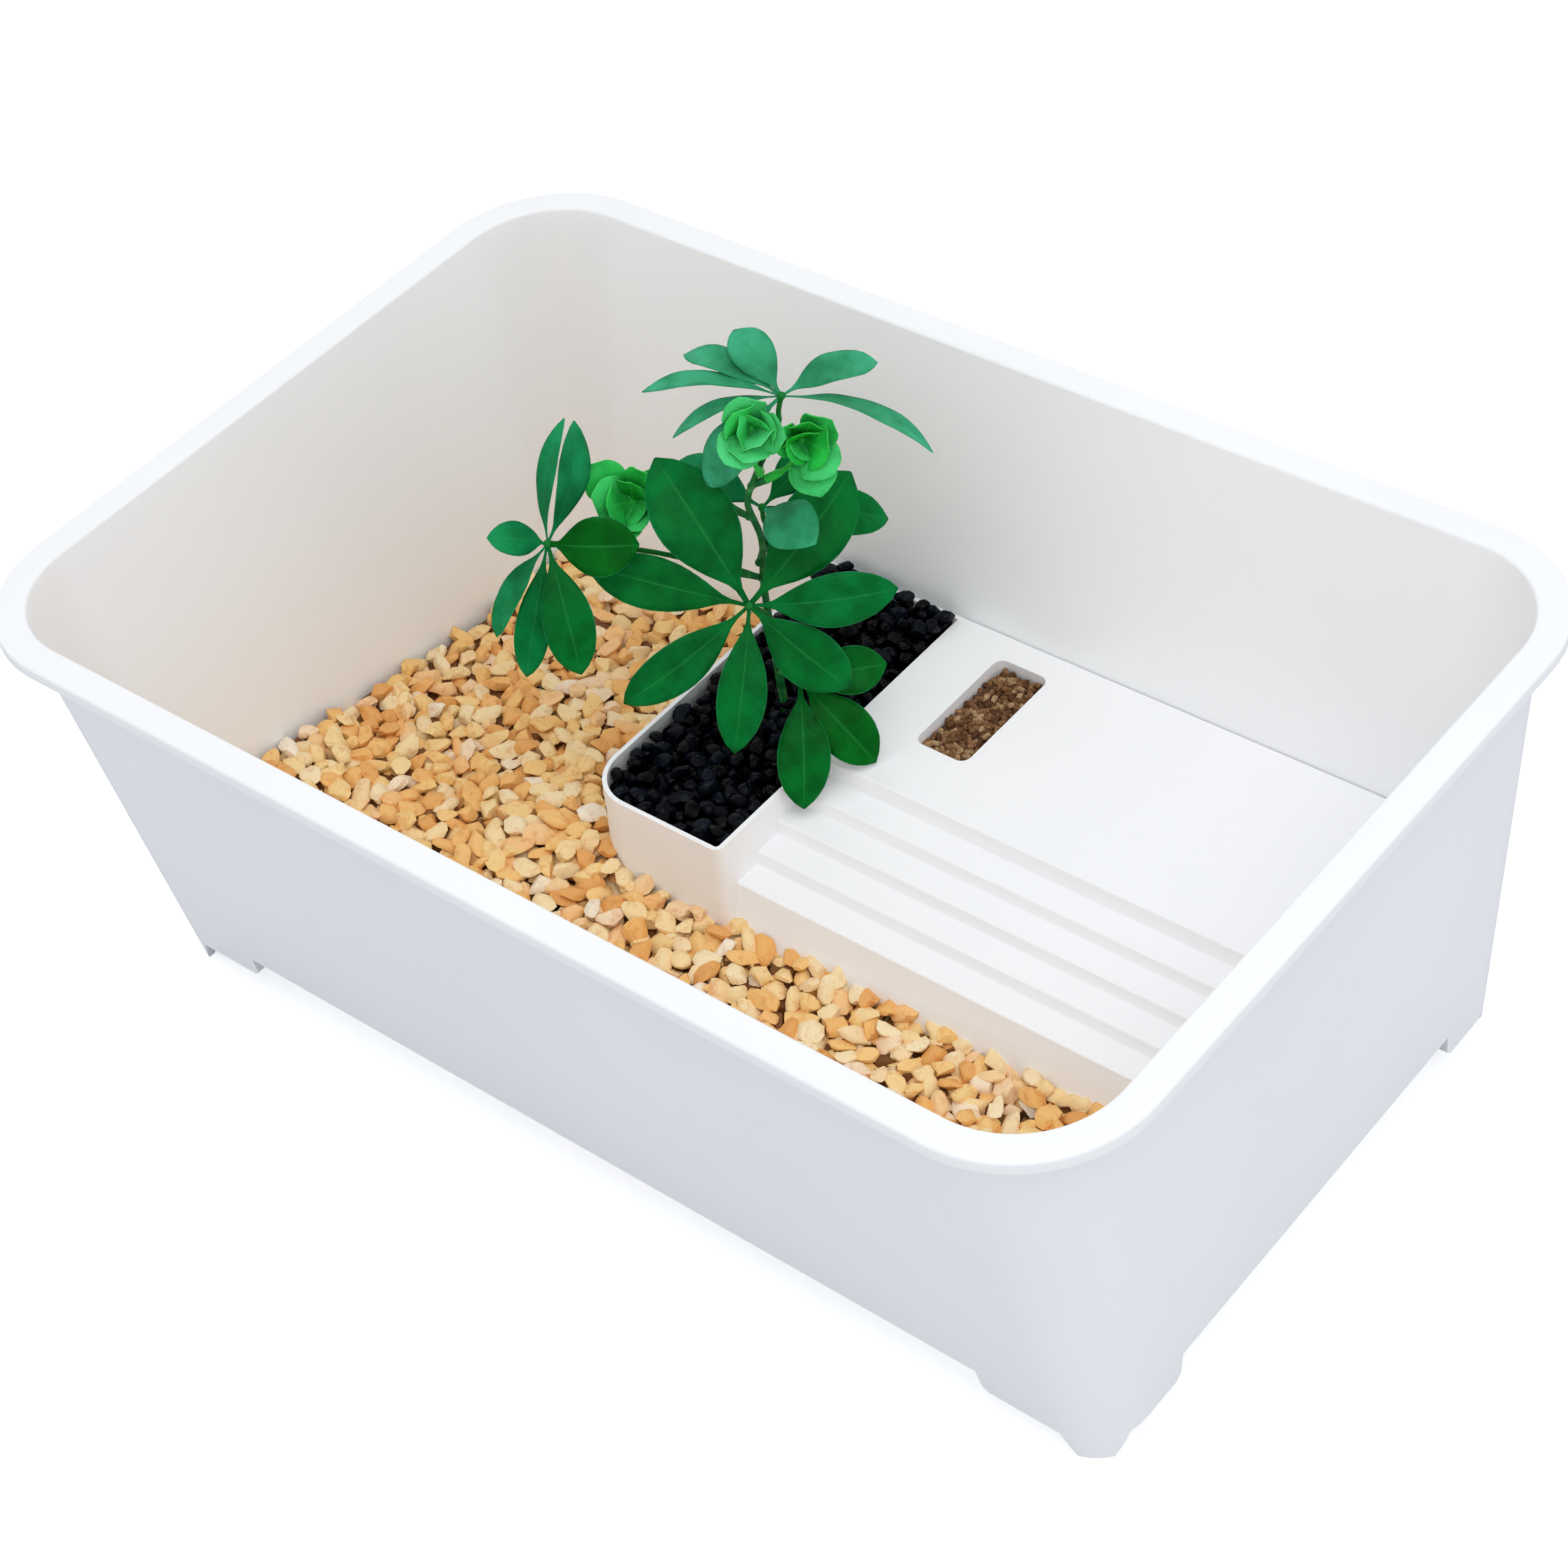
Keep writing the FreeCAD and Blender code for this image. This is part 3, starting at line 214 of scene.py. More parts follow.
def soften(piece, width_mm, segments, angle=35):
    """Rounds the sharp edges of a piece and shades it smooth up to an angle."""
    bevel = piece.modifiers.new("edge_rounding", "BEVEL")
    bevel.width = width_mm * MM
    bevel.segments = segments
    bevel.limit_method = "ANGLE"
    bevel.angle_limit = math.radians(angle)
    bevel.use_clamp_overlap = True
    bevel.harden_normals = True
    piece.data.shade_smooth()
    piece.data.set_sharp_from_angle(angle=math.radians(angle))


tub = add_piece("tub_moulding", clean_copy("tub", "tub_moulding"), "tub", [tub_plastic])
soften(tub, 0.7, 2)
print("tub faces before rounding:", len(tub.data.polygons))

# %% [markdown]
# ## The basking platform
#
# It is a second, thinner moulding. The method is the same, with a slightly smaller
# rounding, as the wall is thinner. Two things that the solid leaves out are added first. A
# deep moulded box needs a little draft to come out of its mould, so the planter's free
# walls spread towards their foot. Its free corner is a wide one, because a tight corner
# would tear thin.

# %% The planter's sizes in mm
PLANTER = {"left": -105.5, "right": -23.0, "front": -24.4, "back": 153.0, "corner": 14.0}
PLANTER_WALL = 2.2
PLANTER_TOP = 90.0
PLANTER_DEPTH = 58.0
PLANTER_DRAFT = 3.0
WIDE_CORNER = 24.0
# How near a point of the solid has to be to a face to count as part of it.
NEAR = 0.1


def shape_planter(mesh):
    """Widens the free corner of the planter box and gives its two free walls their draft."""
    old = Vector((PLANTER["left"] + PLANTER["corner"], PLANTER["front"] + PLANTER["corner"]))
    new = Vector((PLANTER["left"] + WIDE_CORNER, PLANTER["front"] + WIDE_CORNER))
    ring = PLANTER["corner"] - PLANTER_WALL / 2
    for vertex in mesh.vertices:
        x, y, z = vertex.co / MM
        if x > PLANTER["right"] + NEAR or z > PLANTER_TOP + NEAR:
            continue
        off = Vector((x, y)) - old
        in_corner = off.x < NEAR / 10 and off.y < NEAR / 10
        if in_corner and abs(off.length - ring) < PLANTER_WALL / 2 + 3 * NEAR:
            out = off.normalized()
            x, y = new + out * (off.length + WIDE_CORNER - PLANTER["corner"])
        elif x < PLANTER["left"] + PLANTER_WALL + NEAR:
            out = Vector((-1, 0))
        elif y < PLANTER["front"] + PLANTER_WALL + NEAR:
            out = Vector((0, -1))
        else:
            continue
        spread = PLANTER_DRAFT * (PLANTER_TOP - z) / PLANTER_DEPTH
        vertex.co = Vector((x + out.x * spread, y + out.y * spread, z)) * MM


# %% The platform
platform_mesh = clean_copy("basking_platform", "platform_moulding")
shape_planter(platform_mesh)
platform = add_piece(
    "platform_moulding", platform_mesh, "basking_platform", [deck_plastic]
)
soften(platform, 0.6, 2)
print("platform faces before rounding:", len(platform.data.polygons))

# %% [markdown]
# ## Where the loose fillings lie
#
# Gravel, stones and pellets are poured. What matters is where they may lie: inside the
# tub's rounded outline, but outside the planter and the steps. A signed distance to a
# rounded rectangle answers that for every point at once. The outlines below follow the
# solids' own, in millimetres.

# %% Outlines in plan
CAVITY = {"half": (272.3, 152.1), "radius": 26.0}
STEPS = {"left": PLANTER["right"] - 20, "right": 300.0, "front": -19.6, "back": 170.0}
GRAVEL_LEVEL = 44.5
# The bank rises towards the left wall, and forwards over this run from this line.
GRAVEL_BANK = 25.0
BANK_START = 60
BANK_RUN = 140
CORNER_HEAP = 9.0
CORNER_HEAP_WIDTH = 50


def beyond_rectangle(x, y, centre, half, radius):
    """Distance outside a rounded rectangle, negative inside it."""
    across = np.abs(x - centre[0]) - (half[0] - radius)
    along = np.abs(y - centre[1]) - (half[1] - radius)
    outside = np.hypot(np.maximum(across, 0), np.maximum(along, 0))
    return outside + np.minimum(np.maximum(across, along), 0) - radius


def middle_and_half(box):
    """The middle and the half size of a box that is given by its four sides."""
    middle = ((box["left"] + box["right"]) / 2, (box["front"] + box["back"]) / 2)
    return middle, ((box["right"] - box["left"]) / 2, (box["back"] - box["front"]) / 2)


def room_in_gravel(x, y):
    """How far a point lies from whatever holds the gravel."""
    in_tub = -beyond_rectangle(x, y, (0, 0), CAVITY["half"], CAVITY["radius"])
    off_planter = beyond_rectangle(x, y, *middle_and_half(PLANTER), WIDE_CORNER)
    off_steps = beyond_rectangle(x, y, *middle_and_half(STEPS), 0.0)
    return np.minimum(in_tub, np.minimum(off_planter, off_steps))


def gravel_level(x, y):
    """Height of the gravel's surface: banked up in the front left corner, and a little
    against the planter's free corner."""
    left = np.clip((PLANTER["left"] - x) / (CAVITY["half"][0] + PLANTER["left"]), 0, 1)
    front = np.clip((BANK_START - y) / BANK_RUN, 0, 1)
    off_corner = np.hypot(x - PLANTER["left"], y - PLANTER["front"])
    heaped = CORNER_HEAP * np.exp(-((off_corner / CORNER_HEAP_WIDTH) ** 2))
    return GRAVEL_LEVEL + GRAVEL_BANK * left * front + heaped


print("gravel level at the left wall, front and back:", gravel_level(-270, -140), gravel_level(-270, 140))

# %% [markdown]
# ## Pouring stones
#
# Real gravel packs itself: each stone rolls into the lowest place that is free. A map of
# heights can imitate that without a physics simulation. For each stone a few places that
# are still low are tried, the one where it stands up least against the wanted surface is
# kept, and the map is raised by the stone's own shape. The pour goes on until the map
# reaches that surface almost everywhere.

# %% The pour
# The pour ends after so many stones that found no place, or when so few cells are low.
MOST_FAILURES = 900
FEWEST_LOW_CELLS = 20
# After how many stones the low cells are looked up again.
LOOK_AGAIN = 60
# How far a stone may stand over the wanted surface, as a share of its half height.
MOST_OVER = 0.8


def pour(draw, room, level, area, start_below, sizes, tries, count, sink, edge=0.75, tilt=0.35):
    """Places stones. Returns their middles, half sizes, turns and tilts.
    room(x, y) is the free distance, level(x, y) the wanted surface, area the x and y range.
    sizes holds the ranges of a stone's half length, half width and half height, sink is how
    deep it settles, and edge how far it keeps off the walls, both as shares of its size."""
    cell = 1.0
    x0, x1, y0, y1 = area
    gx, gy = np.meshgrid(np.arange(x0, x1, cell), np.arange(y0, y1, cell), indexing="ij")
    goal = level(gx, gy)
    height = goal - start_below
    free = room(gx, gy)
    stones = []
    failures = 0
    low = []
    while len(stones) < count and failures < MOST_FAILURES:
        if (len(stones) + failures) % LOOK_AGAIN == 0:
            low = np.argwhere((goal - height > 0.6 * sizes[2][0]) & (free > sizes[1][0] * edge))
            if len(low) < FEWEST_LOW_CELLS:
                break
        long, flat = draw.uniform(*sizes[0]), draw.uniform(*sizes[2])
        wide = min(long, draw.uniform(*sizes[1]))
        thick = min(wide, flat)
        turn = draw.uniform(0, math.pi)
        best = None
        for _ in range(tries):
            i, j = low[draw.randrange(len(low))]
            if free[i, j] < wide * edge:
                continue
            x, y = x0 + i * cell, y0 + j * cell
            reach = int(long / cell) + 1
            a, b = max(i - reach, 0), min(i + reach + 1, goal.shape[0])
            c, d = max(j - reach, 0), min(j + reach + 1, goal.shape[1])
            dx, dy = gx[a:b, c:d] - x, gy[a:b, c:d] - y
            u = (dx * math.cos(turn) + dy * math.sin(turn)) / long
            v = (-dx * math.sin(turn) + dy * math.cos(turn)) / wide
            dome = 1 - u * u - v * v
            under = dome > 0
            cap = thick * np.sqrt(np.maximum(dome, 0))
            z = np.quantile(height[a:b, c:d][under], 0.7) + (1 - sink) * thick
            over = z + thick - goal[i, j]
            if best is None or over < best[0]:
                best = (over, x, y, z, (a, b, c, d), under, cap)
        if best is None or best[0] > MOST_OVER * thick:
            failures += 1
            continue
        _, x, y, z, (a, b, c, d), under, cap = best
        patch = height[a:b, c:d]
        patch[under] = np.maximum(patch[under], (z + cap)[under])
        lean = (draw.gauss(0, tilt), draw.gauss(0, tilt))
        stones.append((x, y, z, long, wide, thick, turn, lean))
    return stones


# %% [markdown]
# ## The shapes of broken stones
#
# A pebble of crushed quartz is neither a ball nor a cube: it has a few broken faces and
# worn edges. An icosphere is pressed flat against a handful of random planes, and the
# points inside the nearly flat faces are dissolved, so that a stone keeps only a few dozen
# triangles. A small family of these shapes is enough, because each copy is turned,
# stretched and coloured in its own way.

# %% A family of stone shapes
def stone_shapes(draw, family, planes, reach, merge=26):
    """Unit stones, each an icosphere pressed against random planes. Faces that meet at less
    than merge degrees become one."""
    shapes = []
    for _ in range(family):
        ball = bmesh.new()
        bmesh.ops.create_icosphere(ball, subdivisions=2, radius=1.0)
        for _ in range(planes):
            across = Vector([draw.gauss(0, 1) for _ in range(3)]).normalized()
            limit = draw.uniform(*reach)
            for point in ball.verts:
                point.co -= across * max(0.0, point.co.dot(across) - limit)
        bmesh.ops.dissolve_limit(
            ball, angle_limit=math.radians(merge), verts=ball.verts, edges=ball.edges
        )
        bmesh.ops.triangulate(ball, faces=ball.faces)
        ball.verts.index_update()
        points = np.array([v.co for v in ball.verts])
        points /= np.abs(points).max(axis=0)
        corners = np.array([[v.index for v in f.verts] for f in ball.faces])
        shapes.append((points, corners))
        ball.free()
    return shapes


def stone_turn(turn, lean):
    """A stone's own turn in plan, after its tilt about its length and its width."""
    tilted = Matrix.Rotation(lean[0], 3, "X") @ Matrix.Rotation(lean[1], 3, "Y")
    return np.array(Matrix.Rotation(turn, 3, "Z") @ tilted)


def keep_inside(points, middle, half, radius, slope=(0.0, 0.0), slope_from=0.0):
    """Moves points that lie beyond a rounded outline back to it. The outline can grow with
    the height, as a drafted wall does."""
    rise = points[:, 2] - slope_from
    across = points[:, 0] - middle[0]
    along = points[:, 1] - middle[1]
    core_x = half[0] + slope[0] * rise - radius
    core_y = half[1] + slope[1] * rise - radius
    over_x = np.clip(np.abs(across) - core_x, 0, None)
    over_y = np.clip(np.abs(along) - core_y, 0, None)
    shrink = np.minimum(1, radius / np.maximum(np.hypot(over_x, over_y), 1e-9))
    kept_x = np.minimum(np.abs(across), core_x) + over_x * shrink
    kept_y = np.minimum(np.abs(along), core_y) + over_y * shrink
    points[:, 0] = middle[0] + np.sign(across) * kept_x
    points[:, 1] = middle[1] + np.sign(along) * kept_y
    return points


def heap_mesh(name, stones, shapes, draw, bed=None, plump=1.0, walls=None):
    """One mesh of many stones. Each stone has a random tone of up to 1 for its material,
    and a bed mesh with tone 0 can close the gaps under them. Every stone is made plumper
    by the same share, as its broken faces take some of it away. No stone sticks out through the walls."""
    points, corners, tones = [], [], []
    base = 0
    if bed is not None:
        points.append(bed[0])
        corners.append(bed[1])
        tones.append(np.zeros(len(bed[0])))
        base = len(bed[0])
    for x, y, z, long, wide, thick, turn, lean in stones:
        shape, faces = shapes[draw.randrange(len(shapes))]
        flips = np.array([draw.choice((-1, 1)), draw.choice((-1, 1)), 1])
        if flips[0] * flips[1] < 0:
            faces = faces[:, ::-1]
        sized = shape * flips * np.array([long, wide, thick]) * plump
        placed = sized @ stone_turn(turn, lean).T + np.array([x, y, z])
        if walls is not None:
            placed = keep_inside(placed, **walls)
        points.append(placed)
        corners.append(faces + base)
        tones.append(np.full(len(placed), draw.uniform(0.04, 1)))
        base += len(placed)
    mesh = bpy.data.meshes.new(name)
    mesh.from_pydata((np.vstack(points) * MM).tolist(), [], np.vstack(corners).tolist())
    mesh.validate()
    tone = mesh.attributes.new("tone", "FLOAT", "POINT")
    tone.data.foreach_set("value", np.concatenate(tones).astype(np.float32))
    mesh.shade_smooth()
    mesh.set_sharp_from_angle(angle=math.radians(38))
    return mesh


def lowered_bed(node, drop_mm, keep_below_mm):
    """The solid of a heap with its top lowered, to lie under the separate stones."""
    shape = bmesh.new()
    shape.from_mesh(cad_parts[node].data)
    bmesh.ops.remove_doubles(shape, verts=shape.verts, dist=0.002 * MM)
    bmesh.ops.triangulate(shape, faces=shape.faces)
    points = np.array([v.co for v in shape.verts]) / MM
    top = points[:, 2] > keep_below_mm
    points[top, 2] = np.maximum(points[top, 2] - drop_mm, keep_below_mm)
    corners = np.array([[v.index for v in f.verts] for f in shape.faces])
    shape.free()
    return points, corners


# %% [markdown]
# ## The gravel
#
# The stones are tan, cream and orange and some are nearly white. The bed under them is dark
# brown, as painted shade in the gaps between them. The longest are 19 mm long. The colour
# comes from each stone's own tone through a colour ramp, so that neighbours differ, and two
# noises add the veins and the pits on each stone. Natural stone is matt.

# %% Gravel material
def river_gravel():
    material, tree, shader = new_material("river_gravel", {"Roughness": 0.62, "Specular IOR Level": 0.4})
    tone = add_node(tree, "ShaderNodeAttribute", {"attribute_name": "tone"})
    # Tone 0 is the bed: its dark brown is painted shade in the gaps between the stones.
    stone_and_gap_shade_colour = ramp(tree, tone.outputs["Fac"], [
        (0.0, "#7A4E26"), (0.03, "#E8A85E"), (0.14, "#F6BC70"), (0.30, "#FACC82"), (0.48, "#FCD896"),
        (0.64, "#FDE0A8"), (0.78, "#FDE9C0"), (0.9, "#FAC47E"), (1.0, "#FEF4E0"),
    ])
    veins = speckle(tree, 5, detail=4, roughness=0.65, distortion=0.6)
    vein_tint = ramp(tree, veins.outputs["Fac"], [(0.3, "#EBC79C"), (0.48, "#FFFFFF"), (0.72, "#FFF8E8")])
    veined = tint(tree, stone_and_gap_shade_colour.outputs["Color"], vein_tint.outputs["Color"], 0.75)
    tree.links.new(veined, shader.inputs["Base Color"])
    pits = speckle(tree, 1.6, detail=4, roughness=0.6)
    rough = bump(tree, pits.outputs["Fac"], 0.35, 0.6)
    tree.links.new(rough.outputs["Normal"], shader.inputs["Normal"])
    return material


# The tub's walls lean outwards from the floor up, the ends less than the long walls.
GRAVEL_WALLS = {
    "middle": (0.0, 0.0), "half": (273.4, 152.5), "radius": 26.0, "slope": (0.060, 0.152), "slope_from": 38.0,
}
gravel_draw = random.Random(21)
gravel_stones = pour(
    gravel_draw, room_in_gravel, gravel_level, area=(-273, 273, -153, 153), start_below=13.0,
    sizes=[(5.0, 8.2), (3.7, 5.4), (2.4, 3.6)], tries=8, count=3000, sink=0.42, tilt=0.3,
)
print("gravel stones:", len(gravel_stones))

# %% Gravel piece
gravel_shapes = stone_shapes(gravel_draw, family=14, planes=10, reach=(0.52, 0.8))
gravel_mesh = heap_mesh(
    "gravel_bed", gravel_stones, gravel_shapes, gravel_draw,
    bed=lowered_bed("gravel", drop_mm=8.0, keep_below_mm=33.5), plump=1.14, walls=GRAVEL_WALLS,
)
print("triangles of each stone shape:", [len(faces) for _, faces in gravel_shapes])
gravel = add_piece("gravel_bed", gravel_mesh, "gravel", [river_gravel()])
print("gravel triangles:", len(gravel_mesh.polygons))

# %% [markdown]
# ## The planter's black stones
#
# They are smaller, rounder and polished, and lie a little below the planter's edge at the
# front and higher at the back. Black stone shows only by its gloss, so its roughness
# changes from place to place and its colour hardly does.

# %% Black stone material and heap
def polished_black_stone():
    material, tree, shader = new_material("polished_black_stone", {"Specular IOR Level": 0.09})
    tone = add_node(tree, "ShaderNodeAttribute", {"attribute_name": "tone"})
    shade = ramp(tree, tone.outputs["Fac"], [
        (0.0, "#010102"), (0.5, "#02040A"), (0.85, "#060A12"), (1.0, "#0F1620"),
    ])
    tree.links.new(shade.outputs["Color"], shader.inputs["Base Color"])
    wear = speckle(tree, 4, detail=3)
    gloss = add_node(tree, "ShaderNodeMapRange", inputs={
        "Value": wear.outputs["Fac"], "From Min": 0.3, "From Max": 0.7, "To Min": 0.12, "To Max": 0.45,
    })
    tree.links.new(gloss.outputs["Result"], shader.inputs["Roughness"])
    pits = speckle(tree, 1.2, detail=3)
    rough = bump(tree, pits.outputs["Fac"], 0.15, 0.5)
    tree.links.new(rough.outputs["Normal"], shader.inputs["Normal"])
    return material


STONE_PLAY = 0.3
STONE_FRONT_LEVEL = 87.0
STONE_BANK = 9.5
# The stones' back edge leans with the tub's wall, beyond the planter's own back at its foot.
STONE_BACK = 158
BEYOND_BACK = 30


def room_in_planter(x, y):
    wall = PLANTER_WALL + STONE_PLAY
    (across, along), (half_width, half_depth) = middle_and_half(PLANTER)
    half_width, half_depth = half_width - wall, half_depth - wall
    sides = beyond_rectangle(x, y, (across, along), (half_width, 200.0), 0.5)
    middle, half = (across, along + BEYOND_BACK), (half_width, half_depth + BEYOND_BACK)
    front_end = beyond_rectangle(x, y, middle, half, WIDE_CORNER - wall)
    return -np.maximum(np.maximum(sides, front_end), y - STONE_BACK)


def stone_level(x, y):
    share = (y - PLANTER["front"]) / (PLANTER["back"] - PLANTER["front"])
    return STONE_FRONT_LEVEL + STONE_BANK * share ** 2


STONE_WALLS = {"middle": (-64.25, 188.0), "half": (38.9, 210.0), "radius": WIDE_CORNER - PLANTER_WALL}
stone_draw = random.Random(8)
black_stones = pour(
    stone_draw, room_in_planter, stone_level, area=(-106, -22, -25, 160), start_below=12.0,
    sizes=[(3.6, 6.0), (3.2, 5.0), (2.6, 4.4)], tries=6, count=1100, sink=0.30, tilt=0.5,
)
black_shapes = stone_shapes(stone_draw, family=10, planes=6, reach=(0.62, 0.9))
stone_mesh = heap_mesh(
    "planter_stones", black_stones, black_shapes, stone_draw,
    bed=lowered_bed("planter_stones", drop_mm=7.0, keep_below_mm=60.0), walls=STONE_WALLS,
)
stones = add_piece(
    "black_planter_stones", stone_mesh, "planter_stones", [polished_black_stone()]
)
print("black stones:", len(black_stones))

# %% [markdown]
# ## The feed pellets
#
# Pressed feed is a short brown stick with broken ends. A cylinder is bevelled at both
# ends, and a few hundred copies are poured in the trough as the stones were.

# %% Pellets
def pressed_feed():
    material, tree, shader = new_material("pressed_feed", {"Roughness": 0.85, "Specular IOR Level": 0.25})
    tone = add_node(tree, "ShaderNodeAttribute", {"attribute_name": "tone"})
    base = ramp(tree, tone.outputs["Fac"], [
        (0.0, "#5A3A24"), (0.4, "#845C3A"), (0.8, "#A47C54"), (1.0, "#D0B084"),
    ])
    crumbs = speckle(tree, 0.9, detail=3)
    crumb_tint = ramp(tree, crumbs.outputs["Fac"], [(0.3, "#7A6A5A"), (0.6, "#FFFFFF")])
    crumbly = tint(tree, base.outputs["Color"], crumb_tint.outputs["Color"], 0.8)
    tree.links.new(crumbly, shader.inputs["Base Color"])
    rough = bump(tree, crumbs.outputs["Fac"], 0.3, 0.8)
    tree.links.new(rough.outputs["Normal"], shader.inputs["Normal"])
    return material


def stick_shape():
    """A unit stick along X, eight-sided, with bevelled ends."""
    stick = bmesh.new()
    bmesh.ops.create_cone(
        stick, cap_ends=True, segments=8, radius1=1, radius2=1, depth=2,
        matrix=Matrix.Rotation(math.pi / 2, 4, "Y"),
    )
    ends = [edge for edge in stick.edges if abs(edge.verts[0].co.x - edge.verts[1].co.x) < 1e-4]
    bmesh.ops.bevel(stick, geom=ends, offset=0.16, segments=1, profile=0.5, affect="EDGES", material=-1)
    bmesh.ops.triangulate(stick, faces=stick.faces)
    points = np.array([v.co for v in stick.verts])
    corners = np.array([[v.index for v in f.verts] for f in stick.faces])
    stick.free()
    return points, corners


TROUGH = {"middle": (22.5, 113.0), "half": (14.5, 33.0), "radius": 5.0, "floor": 78.0, "fill": 85.0}


def room_in_trough(x, y):
    return -beyond_rectangle(x, y, TROUGH["middle"], TROUGH["half"], TROUGH["radius"])


def feed_level(x, y):
    return np.full(x.shape, TROUGH["fill"])


feed_draw = random.Random(4)
pellets = pour(
    feed_draw, room_in_trough, feed_level, area=(8, 37, 80, 146),
    start_below=TROUGH["fill"] - TROUGH["floor"],
    sizes=[(1.7, 2.6), (1.2, 1.5), (1.2, 1.5)], tries=5, count=520, sink=0.1, edge=1.5, tilt=0.25,
)
feed_mesh = heap_mesh("feed_pellets", pellets, [stick_shape()], feed_draw)
feed = add_piece("pressed_feed_pellets", feed_mesh, "feed_pellets", [pressed_feed()])
print("pellets:", len(pellets))

# %% [markdown]
# ## The plant
#
# The plant is moulded in several pieces that plug together: a stem, and whorls of up to
# seven leaflets that spread like the ribs of an umbrella, or of nine small young leaves.
# A leaflet starts as a flat grid. Its points are moved to the leaf's outline, folded a
# little along the rib, arched from the stalk to the tip and waved at the edge. Solidify
# gives it its thickness.

# %% Leaf materials
def leaf_material(name, old, mid, fresh_lit_colour, rib, edge, roughness):
    """Satin moulded leaf. Each leaflet's tone from 0 to 1 leads from the old colour to
    fresh_lit_colour. Both ends are partly painted light: the old colour also stands for painted
    shade on low leaflets, and fresh_lit_colour for young leaflets and for painted light on those that face
    up."""
    material, tree, shader = new_material(name, {"Roughness": roughness, "Specular IOR Level": 0.06})
    tone = add_node(tree, "ShaderNodeAttribute", {"attribute_name": "tone"})
    # The ramp leads from old leaflets in painted shade to young ones in painted light.
    base = ramp(tree, tone.outputs["Fac"], [(0.0, old), (0.3, mid), (1.0, fresh_lit_colour)])
    place = add_node(tree, "ShaderNodeUVMap", {"uv_map": "leaf"})
    split = add_node(tree, "ShaderNodeSeparateXYZ", inputs={"Vector": place.outputs["UV"]})
    # Painted shade a third of the way from the stalk, and a painted highlight at the tip.
    along = ramp(tree, split.outputs["X"], [
        (0.0, "#F4FAF4"), (0.35, "#C8D8CC"), (0.7, "#EEF4EE"), (0.95, "#FFFFFF"),
    ])
    # Cloudy patches of lighter and darker green: a mottled tone, partly painted highlights.
    clouds = speckle(tree, 12, detail=3)
    highlight_and_mottle_patches = ramp(tree, clouds.outputs["Fac"], [(0.35, "#AFC4B4"), (0.62, "#FFFFFF")])
    shaded = tint(tree, base.outputs["Color"], along.outputs["Color"], 1.0)
    shaded = tint(tree, shaded, highlight_and_mottle_patches.outputs["Color"], 0.8)

    centred = add_node(tree, "ShaderNodeMath", {"operation": "SUBTRACT"}, {0: split.outputs["Y"], 1: 0.5})
    off_rib = add_node(tree, "ShaderNodeMath", {"operation": "ABSOLUTE"}, {0: centred.outputs[0]})
    rib_line = ramp(tree, off_rib.outputs[0], [(0.0, "#B0B0B0"), (0.016, "#606060"), (0.04, "#000000")])
    edge_line = ramp(tree, off_rib.outputs[0], [(0.47, "#000000"), (0.498, "#A0A0A0")])
    with_rib = blend(tree, rib_line.outputs["Color"], shaded, colour(rib))
    with_edge = blend(tree, edge_line.outputs["Color"], with_rib, colour(edge))
    tree.links.new(with_edge, shader.inputs["Base Color"])

    slanted = add_node(tree, "ShaderNodeMath", {"operation": "MULTIPLY_ADD"}, {
        0: off_rib.outputs[0], 1: -0.55, 2: split.outputs["X"],
    })
    veins = add_node(tree, "ShaderNodeMath", {"operation": "MULTIPLY"}, {0: slanted.outputs[0], 1: 60.0})
    ridges = add_node(tree, "ShaderNodeMath", {"operation": "SINE"}, {0: veins.outputs[0]})
    relief = bump(tree, ridges.outputs[0], 0.12, 0.35)
    tree.links.new(relief.outputs["Normal"], shader.inputs["Normal"])
    return material


leaf_green = leaf_material("leaf_green", "#006A12", "#008C4C", "#44B486", "#2F9A4E", "#3AA66E", 0.40)
young_green = leaf_material("young_leaf_green", "#14B42C", "#34D85C", "#60DC94", "#50DC64", "#60E472", 0.42)
print("leaf materials:", leaf_green.name, young_green.name)

# %% [markdown]
# The whorls' places are the solids' own. A place on the plant counts in hundredths of the
# plant's height from the foot of the stem, as a florist would judge it by eye: a whorl
# two thirds up is at 66. The leaflets of a whorl have a turn about its middle, a rise
# towards the way it faces, and a length and width in hundredths of the largest leaflet.

# %% The plant's plan
PLANT_FOOT = Vector((-60, 70, 34.2))
PLANT_HEIGHT = 230.8
LEAF_LENGTH = 78.0
LEAF_WIDTH = 36.0


def plant_point(x, y, z):
    return PLANT_FOOT + Vector((x, y, z)) * (PLANT_HEIGHT / 100)


